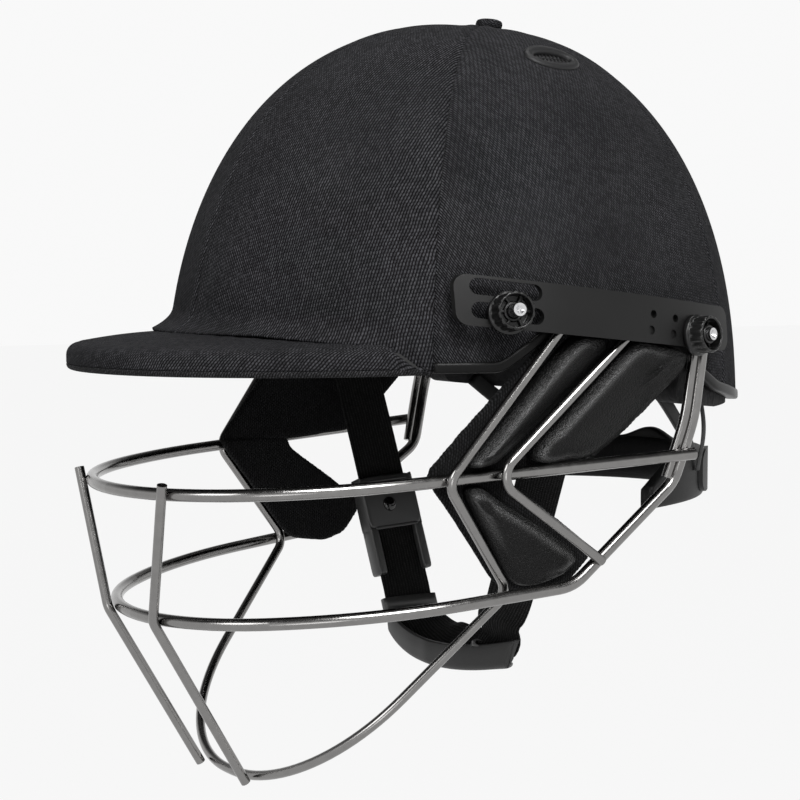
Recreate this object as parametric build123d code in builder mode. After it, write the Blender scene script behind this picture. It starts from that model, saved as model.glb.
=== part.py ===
from build123d import *
from math import cos, hypot, pi, radians, sin, sqrt
import os

os.makedirs("parts", exist_ok=True)

# Cricket helmet in millimetres: +Z up, the face looks along -Y, the wearer's left is +X.
# The origin is the middle of the head cavity, at the widest level of the shell.

# Driving dimensions of the covered shell
shell_half_length = 133.0
shell_half_width = 104.0
shell_height = 168.5
dome_fullness = 2.25
cover_thickness = 1.0
shell_thickness = 3.0
liner_thickness = 14.0
lay_gap = 0.2
cut_overrun = 60.0

# Lower edge of the hard shell and of the liner, seen from the side
edge_shares = [(-1.16, 0.146), (-0.345, 0.148), (-0.233, 0.206), (-0.165, 0.249), (0.205, 0.249),
               (0.245, 0.182), (0.352, 0.178), (0.436, 0.119), (0.549, 0.077), (0.79, 0.039), (1.16, 0.03)]
liner_edge_shares = [(-1.16, 0.15), (-0.345, 0.152), (-0.24, 0.21), (-0.17, 0.256), (0.3, 0.256),
                     (0.385, 0.165), (0.33, 0.05), (0.6, 0.027), (1.16, 0.025)]
edge_corner = 5.0
binding_height = 3.2
binding_thickness = 0.8
binding_front = -71.0

# Six cloth panels meet under the top button
button_back = 16.0
button_radius = 6.0
button_rise = 4.6
button_edge = 1.4
shank_radius = 1.6
shank_clearance = 0.3
panel_angles = [0.0, 45.0, 129.0, 180.0]
panel_names = ["front", "side", "rear"]
seam_gap = 0.5

# Crown vents, one on each side
vent_half_length = 15.0
vent_half_width = 8.6
vent_out = 51.0
vent_back = 12.5
vent_bezel = 3.6
vent_bezel_rise = 1.2
vent_clearance = 0.25
vent_slat = 1.0
vent_slat_count = 7
vent_slat_sink = 1.6
vent_depth = 4.6

# Peak: a padded board with an even rim, whose top rises a little towards the shell
peak_half_width = 89.0
peak_reach = 178.6
peak_root = 70.0
peak_base = 23.5
peak_rim = 10.0
peak_rise = 5.4
peak_top_share = 0.56
peak_rim_radius = 4.2
peak_foot_radius = 2.0
peak_skin = 1.0
peak_split = 2.6
peak_end_levels = (23.5, 35.0)
peak_end_fronts = (-73.5, -90.5)

# Grille rods
bar_diameter = 5.0
rod_diameter = 4.0
upper_front = 167.0
upper_level = -22.7
upper_slope = 3.0
upper_arcs = [(82.6, 58.3), (130.5, 24.0)]
upper_end_back = 45.5
lower_front = 156.5
lower_level = -74.0
lower_slope = 4.8
lower_arcs = [(81.5, 48.7), (134.5, 33.3)]
corner_back = -12.7
corner_radius = 22.0
rear_bend = (97.4, 41.0, -23.5)
rear_shoulder = (100.9, 48.5, 3.0)
rear_top = (98.4, 56.6, 42.0)
rear_bend_radius = 14.0
rear_shoulder_radius = 60.0
brace_foot = (97.6, 37.0, -21.5)
brace_shoulder = (100.9, 43.9, 3.0)
brace_top = (99.0, 51.9, 42.0)
jaw_top = (105.0, -18.6, 45.6)
jaw_upper_bend = (94.2, -69.2, -18.3)
jaw_lower_bend = (89.9, -37.2, -63.6)
loop_corner = (58.5, -114.2, -143.5)
jaw_bend_radius = 8.0
loop_radius = 74.0
cheek_rod_top = (106.0, 16.0, 42.6)
cheek_rod_bend = (99.8, -50.6, -16.7)
cheek_rod_end = (102.2, 0.4, -52.8)
front_rod_top = (38.8, -163.2, -18.0)
front_rod_bend = (21.1, -159.0, -74.2)
front_rod_end = (20.0, -117.6, -144.2)

# Side plates, which follow the shell
plate_stand_off = 7.4
plate_thickness = 2.2
plate_bow = 4.0
plate_front = -66.5
plate_rear = 67.0
plate_top_levels = (63.0, 47.8)
plate_bottom_levels = (43.2, 29.6)
plate_corner = 5.0
slot_front = -61.0
slot_rear = -33.0
slot_height = 6.4
slot_levels = (56.4, 47.3)
slot_tilt = -7.0
hole_radius = 1.6
recess_radius = 1.8
recess_depth = 1.0
hole_pitch = 12.4
upper_hole = (18.8, 46.1)
upper_hole_count = 3
lower_hole = (17.1, 39.8)
lower_hole_count = 2
hole_fall = 2.0
backing_inset = 2.2
backing_front = -27.0
backing_rear = 60.0
backing_gap = 1.0

# Thumb nuts on threaded studs
stud_radius = 2.5
stud_hole_clearance = 0.15
stud_cup_radius = 1.6
stud_cup_depth = 1.2
stud_head_radius = 6.5
stud_head_thickness = 1.6
stud_head_gap = 0.4
front_stud = (-47.5, 47.3)
rear_stud = (42.8, 37.0)
front_stud_proud = 3.5
rear_stud_proud = 0.6
nut_face_radius = 7.5
nut_base_radius = 8.4
front_nut_height = 11.2
rear_nut_height = 8.4
nut_base_height = 2.2
nut_recess = 5.4
nut_wall = 1.3
nut_hub_radius = 3.9
front_hub_sink = 4.2
rear_hub_sink = 1.2
nut_rib = 1.1
nut_rib_height = 2.6
nut_rib_count = 6
nut_flute_radius = 0.8
nut_flute_count = 14
nut_bore_clearance = 0.06
nut_seat_gap = 0.3

# Cheek pads: a backing sheet with three moulded pillows on each side.
# Each plane is given by the distance out at the origin and its slopes to the rear and upwards.
upper_plane = (94.7, 0.06, 0.161)
lower_plane = (96.4, 0.12, 0.10)
sheet_thickness = 3.6
pad_length = 100.0
sheet_upper_shares = [(-0.18, 0.415), (-0.26, 0.355), (-0.56, 0.046), (-0.74, -0.15), (-0.71, -0.185),
                      (-0.37, -0.17), (-0.03, -0.145), (0.03, -0.125), (0.165, -0.025), (0.33, 0.12),
                      (0.435, 0.22), (0.435, 0.26), (0.4, 0.288), (0.305, 0.294), (0.26, 0.35),
                      (0.15, 0.362), (0.1, 0.415)]
sheet_corner = 2.0
sheet_lower_shares = [(-0.74, -0.15), (-0.702, -0.212), (-0.611, -0.323), (-0.422, -0.583),
                      (-0.372, -0.628), (-0.183, -0.659), (-0.068, -0.63), (0.029, -0.529),
                      (0.025, -0.479), (-0.125, -0.364), (-0.36, -0.202), (-0.37, -0.15)]
front_pillow_shares = [(-0.6, -0.105), (-0.55, -0.05), (-0.183, 0.355), (-0.13, 0.39), (-0.005, 0.375),
                       (0.03, 0.34), (0.0, 0.28), (-0.245, 0.062), (-0.465, -0.12), (-0.58, -0.125)]
rear_pillow_shares = [(-0.31, -0.105), (-0.29, -0.045), (0.105, 0.345), (0.155, 0.365), (0.395, 0.315),
                      (0.43, 0.28), (0.415, 0.232), (0.316, 0.135), (0.153, -0.01), (0.03, -0.1),
                      (-0.03, -0.123), (-0.2, -0.13)]
lower_pillow_shares = [(-0.585, -0.222), (-0.56, -0.2), (-0.51, -0.2), (-0.456, -0.237),
                       (-0.242, -0.365), (-0.07, -0.482), (-0.06, -0.53), (-0.121, -0.59),
                       (-0.226, -0.622), (-0.305, -0.62), (-0.36, -0.585), (-0.42, -0.49),
                       (-0.51, -0.347)]
pillow_height = 9.4
pillow_draft = 14.0
pillow_corner = 2.6
pillow_crown = 3.2
pillow_crown_draft = 50.0
rod_way = 0.4
pillow_gap = 0.1

# Chin strap, pinned inside the shell, with a buckle on the right and a moulded chin cup
strap_width = 25.0
strap_thickness = 1.6
strap_back = -3.5
strap_path = [(93.7, 54.0), (93.7, 43.0), (70.5, -17.0), (48.5, -80.0), (43.5, -96.0)]
strap_bend_radii = [20.0, 120.0, 80.0]
strap_recess_margin = 5.0
strap_recess_top = 60.0
strap_recess_depth = 3.6
rivet_level = 48.5
rivet_radius = 2.2
rivet_clearance = 0.08
rivet_head_radius = 5.0
rivet_head_thickness = 1.2
cup_half_span = 51.0
cup_level = -105.6
cup_end_level = -98.2
cup_front = -15.2
cup_end_front = -5.2
cup_wall = 2.6
cup_height = 11.6
cup_depth = 25.0
buckle_level = -56.0
buckle_length = 46.0
buckle_width = 31.0
buckle_thickness = 8.6
buckle_corner = 3.0
buckle_edge = 1.2
buckle_slot_clearance = 0.3
buckle_mouth = 21.0
buckle_mouth_length = 20.0
button_up = 9.0
button_ahead = 1.5
button_round_share = 0.9
button_dome_radius = 3.3
button_dome_rise = 1.6
button_depth = 2.0
button_clearance = 0.08
button_travel = 1.2
keeper_level = -84.0
keeper_height = 8.0
keeper_thickness = 1.6
keeper_clearance = 0.3

# Nape band, hung from the liner by elastic cords
nape_half_width = 82.0
nape_reach = 124.0
nape_thickness = 5.0
nape_levels = (-38.0, -15.0)
nape_front = 46.0
nape_bump_half_width = 24.0
nape_bump_share = 0.6
nape_bump_rise = 8.0
nape_corner = 6.0
nape_pad_thickness = 4.0
nape_pad_margin = 2.5
cord_radius = 1.35
cord_out = 40.0
cord_gap = 0.3
clip_out = 45.0
clip_half_width = 11.0
clip_height = 19.0
clip_thickness = 1.6

# Comfort pads and sweatband inside the liner
pad_thickness = 7.0
crown_pad_radius = 42.0
band_levels = (48.0, 74.0)
band_rear = -24.0
band_thickness = 4.0
side_pad_span = (-18.0, 62.0)
side_pad_levels = (62.0, 112.0)
rear_pad_half_width = 48.0
rear_pad_levels = (16.0, 84.0)
pad_corner = 8.0
pad_gap = 0.3


def spread(shares, width, height):
    """Points at the given shares of a width and a height."""
    return [(a * width, b * height) for a, b in shares]


def dome(inset):
    """The left half of the closed dome, inside the outer cloth surface by this much."""
    half_length = shell_half_length - inset
    height = shell_height - inset
    squash = (shell_half_width - inset) / half_length
    steps = 12
    arc = [k * pi / 2 / steps for k in range(steps + 1)]
    power = 2 / dome_fullness
    points = [(-half_length * cos(t) ** power, height * sin(t) ** power) for t in arc[:-1]]
    points.append((0, height))
    with BuildPart() as form:
        with BuildSketch(Plane.YZ):
            with BuildLine():
                Spline(*points, tangents=[(0, 1), (1, 0)])
                Line((0, height), (0, 0))
                Line((0, 0), (-half_length, 0))
            make_face()
        revolve(axis=Axis.Z, revolution_arc=180)
        scale(by=(squash, 1, 1))
    return form.part


def above_edge(shares, rise):
    """The space on the left above a side-view edge line, raised by this much."""
    line = [(a, b + rise) for a, b in spread(shares, shell_half_length, shell_height)]
    top = shell_height + cut_overrun
    with BuildPart() as space:
        with BuildSketch(Plane.YZ):
            with BuildLine():
                FilletPolyline(*line, radius=edge_corner)
                Polyline(line[-1], (line[-1][0], top), (line[0][0], top), line[0])
            make_face()
        extrude(amount=shell_half_width + cut_overrun)
    return space.part


def layer(outer_inset, inner_inset):
    """The left half of a layer of the dome, between two insets."""
    with BuildPart() as skin:
        add(dome(outer_inset))
        add(dome(inner_inset), mode=Mode.SUBTRACT)
    return skin.part


def side_block(points, corner):
    """A side-view outline with rounded corners, run out to the left of the helmet."""
    with BuildPart() as block:
        with BuildSketch(Plane.YZ):
            with BuildLine():
                FilletPolyline(*points, radius=corner, close=True)
            make_face()
        extrude(amount=shell_half_width + cut_overrun)
    return block.part


def level(x, y, z, inset):
    """Zero on the dome with this inset, less inside it and more outside it."""
    around = hypot(x / (shell_half_width - inset), y / (shell_half_length - inset))
    up = z / (shell_height - inset)
    return around ** dome_fullness + up ** dome_fullness - 1


def seat(y, z, inset, bow):
    """A plane on the left wall of a dome that is moved back by the bow, facing outwards."""
    width, length, height = shell_half_width - inset, shell_half_length - inset, shell_height - inset
    around = (1 - (z / height) ** dome_fullness) ** (2 / dome_fullness)
    x = width * sqrt(around - ((y - bow) / length) ** 2)
    lean = around ** (1 - dome_fullness / 2) * (z / height) ** (dome_fullness - 1) / height
    out = Vector(x / width ** 2, (y - bow) / length ** 2, lean)
    return Plane(origin=(x, y, z), x_dir=Vector(0, 0, 1).cross(out), z_dir=out)


def reach(plane, inset):
    """How far behind a plane's origin the dome with this inset lies, along the plane's axis."""
    near, far = 0.0, shell_half_width
    while far - near > lay_gap / 100:
        middle = (near + far) / 2
        point = plane.origin - plane.z_dir * middle
        if level(point.X, point.Y, point.Z, inset) > 0:
            near = middle
        else:
            far = middle
    return near


def save(part, name):
    """Label a finished piece and write it."""
    part.label = name
    export_step(part, "parts/" + name + ".step")


def save_pair(part, name):
    """Write a left piece and its mirror image on the right."""
    save(part, name + "_left")
    with BuildPart() as other:
        mirror(part, about=Plane.YZ)
    save(other.part, name + "_right")


def rod(points, radii, diameter):
    """A round rod along straight runs joined by tangent arcs."""
    with BuildPart() as wire:
        with BuildLine() as path:
            if radii:
                FilletPolyline(*points, radius=radii)
            else:
                Line(*points)
        with BuildSketch(Plane(origin=path.line @ 0, z_dir=path.line % 0)):
            Circle(diameter / 2)
        sweep(path=path.line)
    return wire.part


def hoop(front, height, slope, arcs):
    """Half the path of a face bar: tangent arcs in a plane that rises to the rear."""
    with BuildLine() as curve:
        first = JernArc(start=(0, 0), tangent=(1, 0), radius=arcs[0][0], arc_size=arcs[0][1])
        JernArc(start=first @ 1, tangent=first % 1, radius=arcs[1][0], arc_size=arcs[1][1])
    tilt = radians(slope)
    plane = Plane(origin=(0, -front, height), x_dir=(1, 0, 0), z_dir=(0, -sin(tilt), cos(tilt)))
    return Wire(plane.location * curve.line)


def onward(curve, back):
    """The point where a curve's end, carried straight on, reaches this far back."""
    end, way = curve @ 1, curve % 1
    return end + way * ((back - end.Y) / way.Y)


# The layers that the shell is built from
liner_outset = cover_thickness + 2 * lay_gap + shell_thickness
liner_inset = liner_outset + liner_thickness
shell_space = above_edge(edge_shares, 0)
liner_space = above_edge(liner_edge_shares, 0)

# Where the studs and the vent stand on the left side, and the button on top
plate_face = -(plate_stand_off + plate_thickness)
stud_spots = {"front": front_stud, "rear": rear_stud}
stud_seats = {end: seat(*spot, plate_face, plate_bow) for end, spot in stud_spots.items()}
nut_heights = {"front": front_nut_height, "rear": rear_nut_height}
stud_ends = {"front": front_stud_proud, "rear": rear_stud_proud}
nut_hub_sinks = {"front": front_hub_sink, "rear": rear_hub_sink}
shell_inset = cover_thickness + lay_gap + shell_thickness
vent_share = hypot(vent_out / shell_half_width, vent_back / shell_half_length)
vent_level = shell_height * (1 - vent_share ** dome_fullness) ** (1 / dome_fullness)
vent_plane = seat(vent_back, vent_level, 0, 0)
button_share = button_back / shell_half_length
button_level = shell_height * (1 - button_share ** dome_fullness) ** (1 / dome_fullness)
button_lean = button_share ** (dome_fullness - 1) / shell_half_length
button_climb = (button_level / shell_height) ** (dome_fullness - 1) / shell_height
button_plane = Plane(origin=(0, button_back, button_level + lay_gap), x_dir=(1, 0, 0),
                     z_dir=(0, button_lean, button_climb))

# Everything that passes through the left half of the covered shell
with BuildPart() as through:
    for plane in stud_seats.values():
        with BuildSketch(plane.offset(plate_thickness)):
            Circle(stud_radius + stud_hole_clearance)
        extrude(amount=-(plate_thickness + reach(plane, shell_inset) + shell_thickness))
    with BuildSketch(vent_plane.offset(vent_depth)):
        Ellipse(vent_half_length - vent_bezel + vent_clearance,
                vent_half_width - vent_bezel + vent_clearance)
    extrude(amount=-(vent_depth + liner_inset + liner_thickness))
    with BuildSketch(button_plane.offset(button_rise)):
        Circle(shank_radius + shank_clearance)
    extrude(amount=-(button_rise + shell_inset))

with BuildPart() as shell:
    add(layer(cover_thickness + lay_gap, shell_inset))
    add(shell_space, mode=Mode.INTERSECT)
    add(through.part, mode=Mode.SUBTRACT)
    with BuildSketch(Plane.YZ.offset(shell_half_width)):
        with Locations((strap_back, rivet_level)):
            Circle(rivet_radius + rivet_clearance)
    extrude(amount=-liner_inset, mode=Mode.SUBTRACT)
    mirror(about=Plane.YZ)
save(shell.part, "shell")

with BuildPart() as cloth:
    add(layer(0, cover_thickness))
    add(shell_space, mode=Mode.INTERSECT)
    add(through.part, mode=Mode.SUBTRACT)

# Each panel is the cloth inside a wedge about the button, a little short of its seams.
for panel, first_angle, last_angle in zip(panel_names, panel_angles, panel_angles[1:]):
    half = radians(last_angle - first_angle) / 2
    middle = radians(last_angle + first_angle) / 2
    shift = seam_gap / 2 / sin(half)
    far = shell_half_length + cut_overrun
    apex = (shift * sin(middle), button_back - shift * cos(middle))
    first = (apex[0] + far * sin(radians(first_angle)), apex[1] - far * cos(radians(first_angle)))
    last = (apex[0] + far * sin(radians(last_angle)), apex[1] - far * cos(radians(last_angle)))
    tip = (apex[0] + 2 * far * sin(middle), apex[1] - 2 * far * cos(middle))
    with BuildPart() as cover:
        with BuildSketch(Plane.XY):
            with BuildLine():
                Polyline(apex, first, tip, last, close=True)
            make_face()
        extrude(amount=shell_height + cut_overrun)
        add(cloth.part, mode=Mode.INTERSECT)
    save_pair(cover.part, "cover_" + panel)

# The shiny trim follows the lower edge behind the peak.
with BuildPart() as edge_strip:
    add(shell_space)
    add(above_edge(edge_shares, binding_height), mode=Mode.SUBTRACT)
    split(bisect_by=Plane.XZ.offset(-binding_front), keep=Keep.BOTTOM)
with BuildPart() as edge_binding:
    add(layer(-(lay_gap + binding_thickness), -lay_gap))
    add(edge_strip.part, mode=Mode.INTERSECT)
    mirror(about=Plane.YZ)
save(edge_binding.part, "edge_binding")

with BuildPart() as top_button:
    with BuildSketch(button_plane):
        Circle(button_radius)
    extrude(amount=button_rise)
    fillet(top_button.edges().sort_by(Axis.Z)[-1], button_rise - button_edge)
    with BuildSketch(button_plane):
        Circle(shank_radius)
    extrude(amount=-shell_inset)
save(top_button.part, "top_button")


def peak_board(inset):
    """The left half of the peak's board, this much inside its outer surface."""
    length = peak_reach - peak_root - inset
    foot, rim = peak_base + inset, peak_base + peak_rim - inset
    crown = rim + peak_rise
    squash = (peak_half_width - inset) / length
    with BuildPart() as board:
        with BuildSketch(Plane.YZ):
            with BuildLine():
                Polyline((0, foot), (-length, foot), (-length, rim), (-length * peak_top_share, crown),
                         (0, crown), close=True)
            make_face()
            corners = vertices().sort_by(Axis.X)[:2].sort_by(Axis.Y)
            fillet(corners[0], peak_foot_radius)
            fillet(corners[1], peak_rim_radius)
        revolve(axis=Axis.Z, revolution_arc=180)
        scale(by=(squash, 1, 1))
    return board.part.moved(Location((0, -peak_root, 0)))


# The peak stops at the shell's cloth, and its sides fall away to the lower edge.
end_low, end_high = peak_end_levels
end_rear, end_front = peak_end_fronts
with BuildPart() as peak_space:
    with BuildSketch(Plane.YZ):
        with BuildLine():
            Polyline((-2 * peak_reach, 0), (end_rear, 0), (end_rear, end_low),
                     (2 * end_front - end_rear, 2 * end_high - end_low),
                     (-2 * peak_reach, 2 * end_high - end_low), close=True)
        make_face()
    extrude(amount=2 * peak_half_width)
    add(dome(-lay_gap), mode=Mode.SUBTRACT)

split_level = peak_base + peak_split
peak_skin_layers = [("peak_cover", split_level + seam_gap / 2, Keep.TOP),
                    ("peak_lining", split_level - seam_gap / 2, Keep.BOTTOM)]
for name, height, kept in peak_skin_layers:
    with BuildPart() as skin:
        add(peak_board(0))
        add(peak_board(peak_skin), mode=Mode.SUBTRACT)
        add(peak_space.part, mode=Mode.INTERSECT)
        split(bisect_by=Plane.XY.offset(height), keep=kept)
        mirror(about=Plane.YZ)
    save(skin.part, name)

with BuildPart() as peak_core:
    add(peak_board(peak_skin + lay_gap))
    add(peak_space.part, mode=Mode.INTERSECT)
    mirror(about=Plane.YZ)
save(peak_core.part, "peak_core")

# Vents: an oval bezel with cross slats, through the cloth and the shell
with BuildPart() as vent:
    with BuildSketch(vent_plane):
        Ellipse(vent_half_length, vent_half_width)
    extrude(amount=vent_bezel_rise)
    with BuildSketch(vent_plane):
        Ellipse(vent_half_length - vent_bezel, vent_half_width - vent_bezel)
    extrude(amount=-vent_depth)
    with BuildSketch(vent_plane.offset(vent_bezel_rise)):
        Ellipse(vent_half_length - vent_bezel - vent_slat, vent_half_width - vent_bezel - vent_slat)
    extrude(amount=-(vent_bezel_rise + vent_depth), mode=Mode.SUBTRACT)
    pitch = 2 * (vent_half_length - vent_bezel) / (vent_slat_count + 1)
    with BuildSketch(vent_plane.offset(-vent_slat_sink)):
        with GridLocations(pitch, 0, vent_slat_count, 1):
            Rectangle(vent_slat, 2 * vent_half_width)
        Ellipse(vent_half_length - vent_bezel - vent_slat / 2, vent_half_width - vent_bezel - vent_slat / 2,
                mode=Mode.INTERSECT)
    extrude(amount=-(vent_depth - vent_slat_sink))
save_pair(vent.part, "vent_grille")

# Liner, with room for the strap's upper ends and the stud heads
with BuildPart() as liner:
    add(layer(liner_outset, liner_inset))
    add(liner_space, mode=Mode.INTERSECT)
    add(through.part, mode=Mode.SUBTRACT)
    with BuildSketch(Plane.YZ.offset(strap_path[0][0] - strap_recess_depth)):
        with Locations((strap_back, strap_recess_top)):
            Rectangle(strap_width + 2 * strap_recess_margin, shell_height, align=(Align.CENTER, Align.MAX))
    extrude(amount=cut_overrun, mode=Mode.SUBTRACT)
    for plane in stud_seats.values():
        with BuildSketch(plane.offset(-reach(plane, shell_inset))):
            Circle(stud_head_radius + stud_head_gap)
        extrude(amount=-(stud_head_thickness + 2 * stud_head_gap), mode=Mode.SUBTRACT)
    mirror(about=Plane.YZ)
save(liner.part, "liner")


def rounded_panel(plane, low, high, depth):
    """A rounded rectangle between two corners on a plane, run out along its axis."""
    with BuildPart() as block:
        with BuildSketch(plane):
            with Locations(((low[0] + high[0]) / 2, (low[1] + high[1]) / 2)):
                RectangleRounded(high[0] - low[0], high[1] - low[1], pad_corner)
        extrude(amount=depth)
    return block.part


pad_outset = liner_inset + pad_gap
with BuildPart() as crown_pad:
    add(layer(pad_outset, pad_outset + pad_thickness))
    with BuildSketch(Plane.XY):
        Circle(crown_pad_radius)
    extrude(amount=shell_height, mode=Mode.INTERSECT)
    mirror(about=Plane.YZ)
save(crown_pad.part, "crown_pad")

with BuildPart() as side_pad:
    add(layer(pad_outset, pad_outset + pad_thickness))
    side_low, side_high = zip(side_pad_span, side_pad_levels)
    add(rounded_panel(Plane.YZ, side_low, side_high, shell_half_width), mode=Mode.INTERSECT)
save_pair(side_pad.part, "side_pad")

with BuildPart() as sweatband:
    add(layer(pad_outset, pad_outset + band_thickness))
    with BuildSketch(Plane.XZ):
        with Locations((0, band_levels[0])):
            Rectangle(4 * shell_half_width, band_levels[1] - band_levels[0], align=(Align.CENTER, Align.MIN))
    extrude(amount=2 * shell_half_length, mode=Mode.INTERSECT)
    split(bisect_by=Plane.XZ.offset(-band_rear), keep=Keep.TOP)
    mirror(about=Plane.YZ)
save(sweatband.part, "sweatband")

with BuildPart() as rear_pad:
    add(layer(pad_outset, pad_outset + pad_thickness))
    rear_low = (-rear_pad_half_width, rear_pad_levels[0])
    rear_high = (rear_pad_half_width, rear_pad_levels[1])
    add(rounded_panel(Plane.XZ, rear_low, rear_high, -shell_half_length), mode=Mode.INTERSECT)
    mirror(about=Plane.YZ)
save(rear_pad.part, "rear_pad")

# Grille: two face bars, a chin loop and the rods between them
upper_path = hoop(upper_front, upper_level, upper_slope, upper_arcs)
with BuildPart() as upper_bar:
    with BuildLine() as path:
        add(upper_path)
        Line(upper_path @ 1, onward(upper_path, upper_end_back))
    with BuildSketch(Plane(origin=upper_path @ 0, z_dir=upper_path % 0)):
        Circle(bar_diameter / 2)
    sweep(path=path.wires()[0])
    mirror(about=Plane.YZ)
save(upper_bar.part, "upper_bar")

lower_path = hoop(lower_front, lower_level, lower_slope, lower_arcs)
with BuildPart() as lower_bar:
    with BuildLine() as path:
        add(lower_path)
        FilletPolyline(lower_path @ 1, onward(lower_path, corner_back), rear_bend, rear_shoulder, rear_top,
                       radius=[corner_radius, rear_bend_radius, rear_shoulder_radius])
    with BuildSketch(Plane(origin=lower_path @ 0, z_dir=lower_path % 0)):
        Circle(bar_diameter / 2)
    sweep(path=path.wires()[0])
    mirror(about=Plane.YZ)
save(lower_bar.part, "lower_bar")

loop_middle = (0, loop_corner[1], loop_corner[2])
with BuildPart() as chin_loop:
    add(rod([loop_middle, loop_corner, jaw_lower_bend, jaw_upper_bend, jaw_top],
            [loop_radius, jaw_bend_radius, jaw_bend_radius], rod_diameter))
    mirror(about=Plane.YZ)
save(chin_loop.part, "chin_loop")

rod_groups = [("cheek_rods", [cheek_rod_top, cheek_rod_bend, cheek_rod_end], [jaw_bend_radius]),
              ("front_rods", [front_rod_top, front_rod_bend, front_rod_end], [jaw_bend_radius]),
              ("brace_rods", [brace_foot, brace_shoulder, brace_top], [rear_shoulder_radius])]
rods = {"upper_bar": upper_bar.part, "lower_bar": lower_bar.part, "chin_loop": chin_loop.part}
for name, points, radii in rod_groups:
    with BuildPart() as pair:
        add(rod(points, radii, rod_diameter))
        mirror(about=Plane.YZ)
    rods[name] = pair.part
    save(pair.part, name)

# Side plate with its slots, holes and blind recesses
plate_outline = [(plate_front, plate_bottom_levels[0]), (plate_rear, plate_bottom_levels[1]),
                 (plate_rear, plate_top_levels[1]), (plate_front, plate_top_levels[0])]
plate_layer = layer(plate_face, -plate_stand_off).moved(Location((0, plate_bow, 0)))
with BuildPart() as plate_cuts:
    slot_middle = (slot_front + slot_rear) / 2
    with BuildSketch(Plane.YZ):
        for height in slot_levels:
            with Locations(Location((slot_middle, height), slot_tilt)):
                SlotOverall(slot_rear - slot_front, slot_height)
        for k in range(upper_hole_count):
            with Locations((upper_hole[0] + k * hole_pitch, upper_hole[1] - k * hole_fall)):
                Circle(hole_radius)
    extrude(amount=shell_half_width + cut_overrun)
    with BuildSketch(stud_seats["rear"].offset(plate_thickness)):
        Circle(stud_radius + stud_hole_clearance)
    extrude(amount=-3 * plate_thickness)
with BuildPart() as side_plate:
    add(plate_layer)
    add(side_block(plate_outline, plate_corner), mode=Mode.INTERSECT)
    add(plate_cuts.part, mode=Mode.SUBTRACT)
    for k in range(lower_hole_count):
        recess = seat(lower_hole[0] + k * hole_pitch, lower_hole[1] - k * hole_fall, plate_face, plate_bow)
        with BuildSketch(recess.offset(recess_depth)):
            Circle(recess_radius)
        extrude(amount=-2 * recess_depth, mode=Mode.SUBTRACT)
save_pair(side_plate.part, "side_plate")


def plate_line(levels, y):
    """The height of a plate edge that runs straight between its two end levels."""
    return levels[0] + (levels[1] - levels[0]) * (y - plate_front) / (plate_rear - plate_front)


# The block behind the plate holds the rods' upper ends.
backing_outline = [(backing_front, plate_line(plate_bottom_levels, backing_front) + backing_inset),
                   (backing_rear, plate_line(plate_bottom_levels, backing_rear) + backing_inset),
                   (backing_rear, plate_line(plate_top_levels, backing_rear) - backing_inset),
                   (backing_front, plate_line(plate_top_levels, backing_front) - backing_inset)]
with BuildPart() as plate_backing:
    add(dome(-plate_stand_off).moved(Location((0, plate_bow, 0))))
    add(dome(-backing_gap), mode=Mode.SUBTRACT)
    add(side_block(backing_outline, plate_corner - backing_inset), mode=Mode.INTERSECT)
    for name in ["lower_bar", "chin_loop", "cheek_rods", "brace_rods"]:
        add(rods[name], mode=Mode.SUBTRACT)
    with BuildSketch(stud_seats["rear"]):
        Circle(stud_radius + stud_hole_clearance)
    extrude(amount=-2 * plate_stand_off, mode=Mode.SUBTRACT)
save_pair(plate_backing.part, "plate_backing")

# Studs from inside the shell, with a spacer under the front of the plate
for end, plane in stud_seats.items():
    depth = reach(plane, shell_inset)
    with BuildPart() as studs:
        with BuildSketch(plane.offset(-depth - stud_head_gap)):
            Circle(stud_head_radius)
        extrude(amount=-stud_head_thickness)
        with BuildSketch(plane.offset(-depth - stud_head_gap)):
            Circle(stud_radius)
        stud_out = nut_seat_gap + nut_heights[end] + stud_ends[end]
        extrude(amount=depth + stud_head_gap + stud_out)
        with BuildSketch(plane.offset(stud_out)):
            Circle(stud_cup_radius)
        extrude(amount=-stud_cup_depth, taper=45, mode=Mode.SUBTRACT)
        mirror(about=Plane.YZ)
    save(studs.part, end + "_studs")

front_plane = stud_seats["front"]
with BuildPart() as spacers:
    with BuildSketch(front_plane.offset(-plate_thickness - lay_gap)):
        Circle(stud_head_radius)
        Circle(stud_radius + stud_hole_clearance, mode=Mode.SUBTRACT)
    extrude(amount=-(reach(front_plane, 0) - plate_thickness - 2 * lay_gap))
    mirror(about=Plane.YZ)
save(spacers.part, "stud_spacers")

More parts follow.
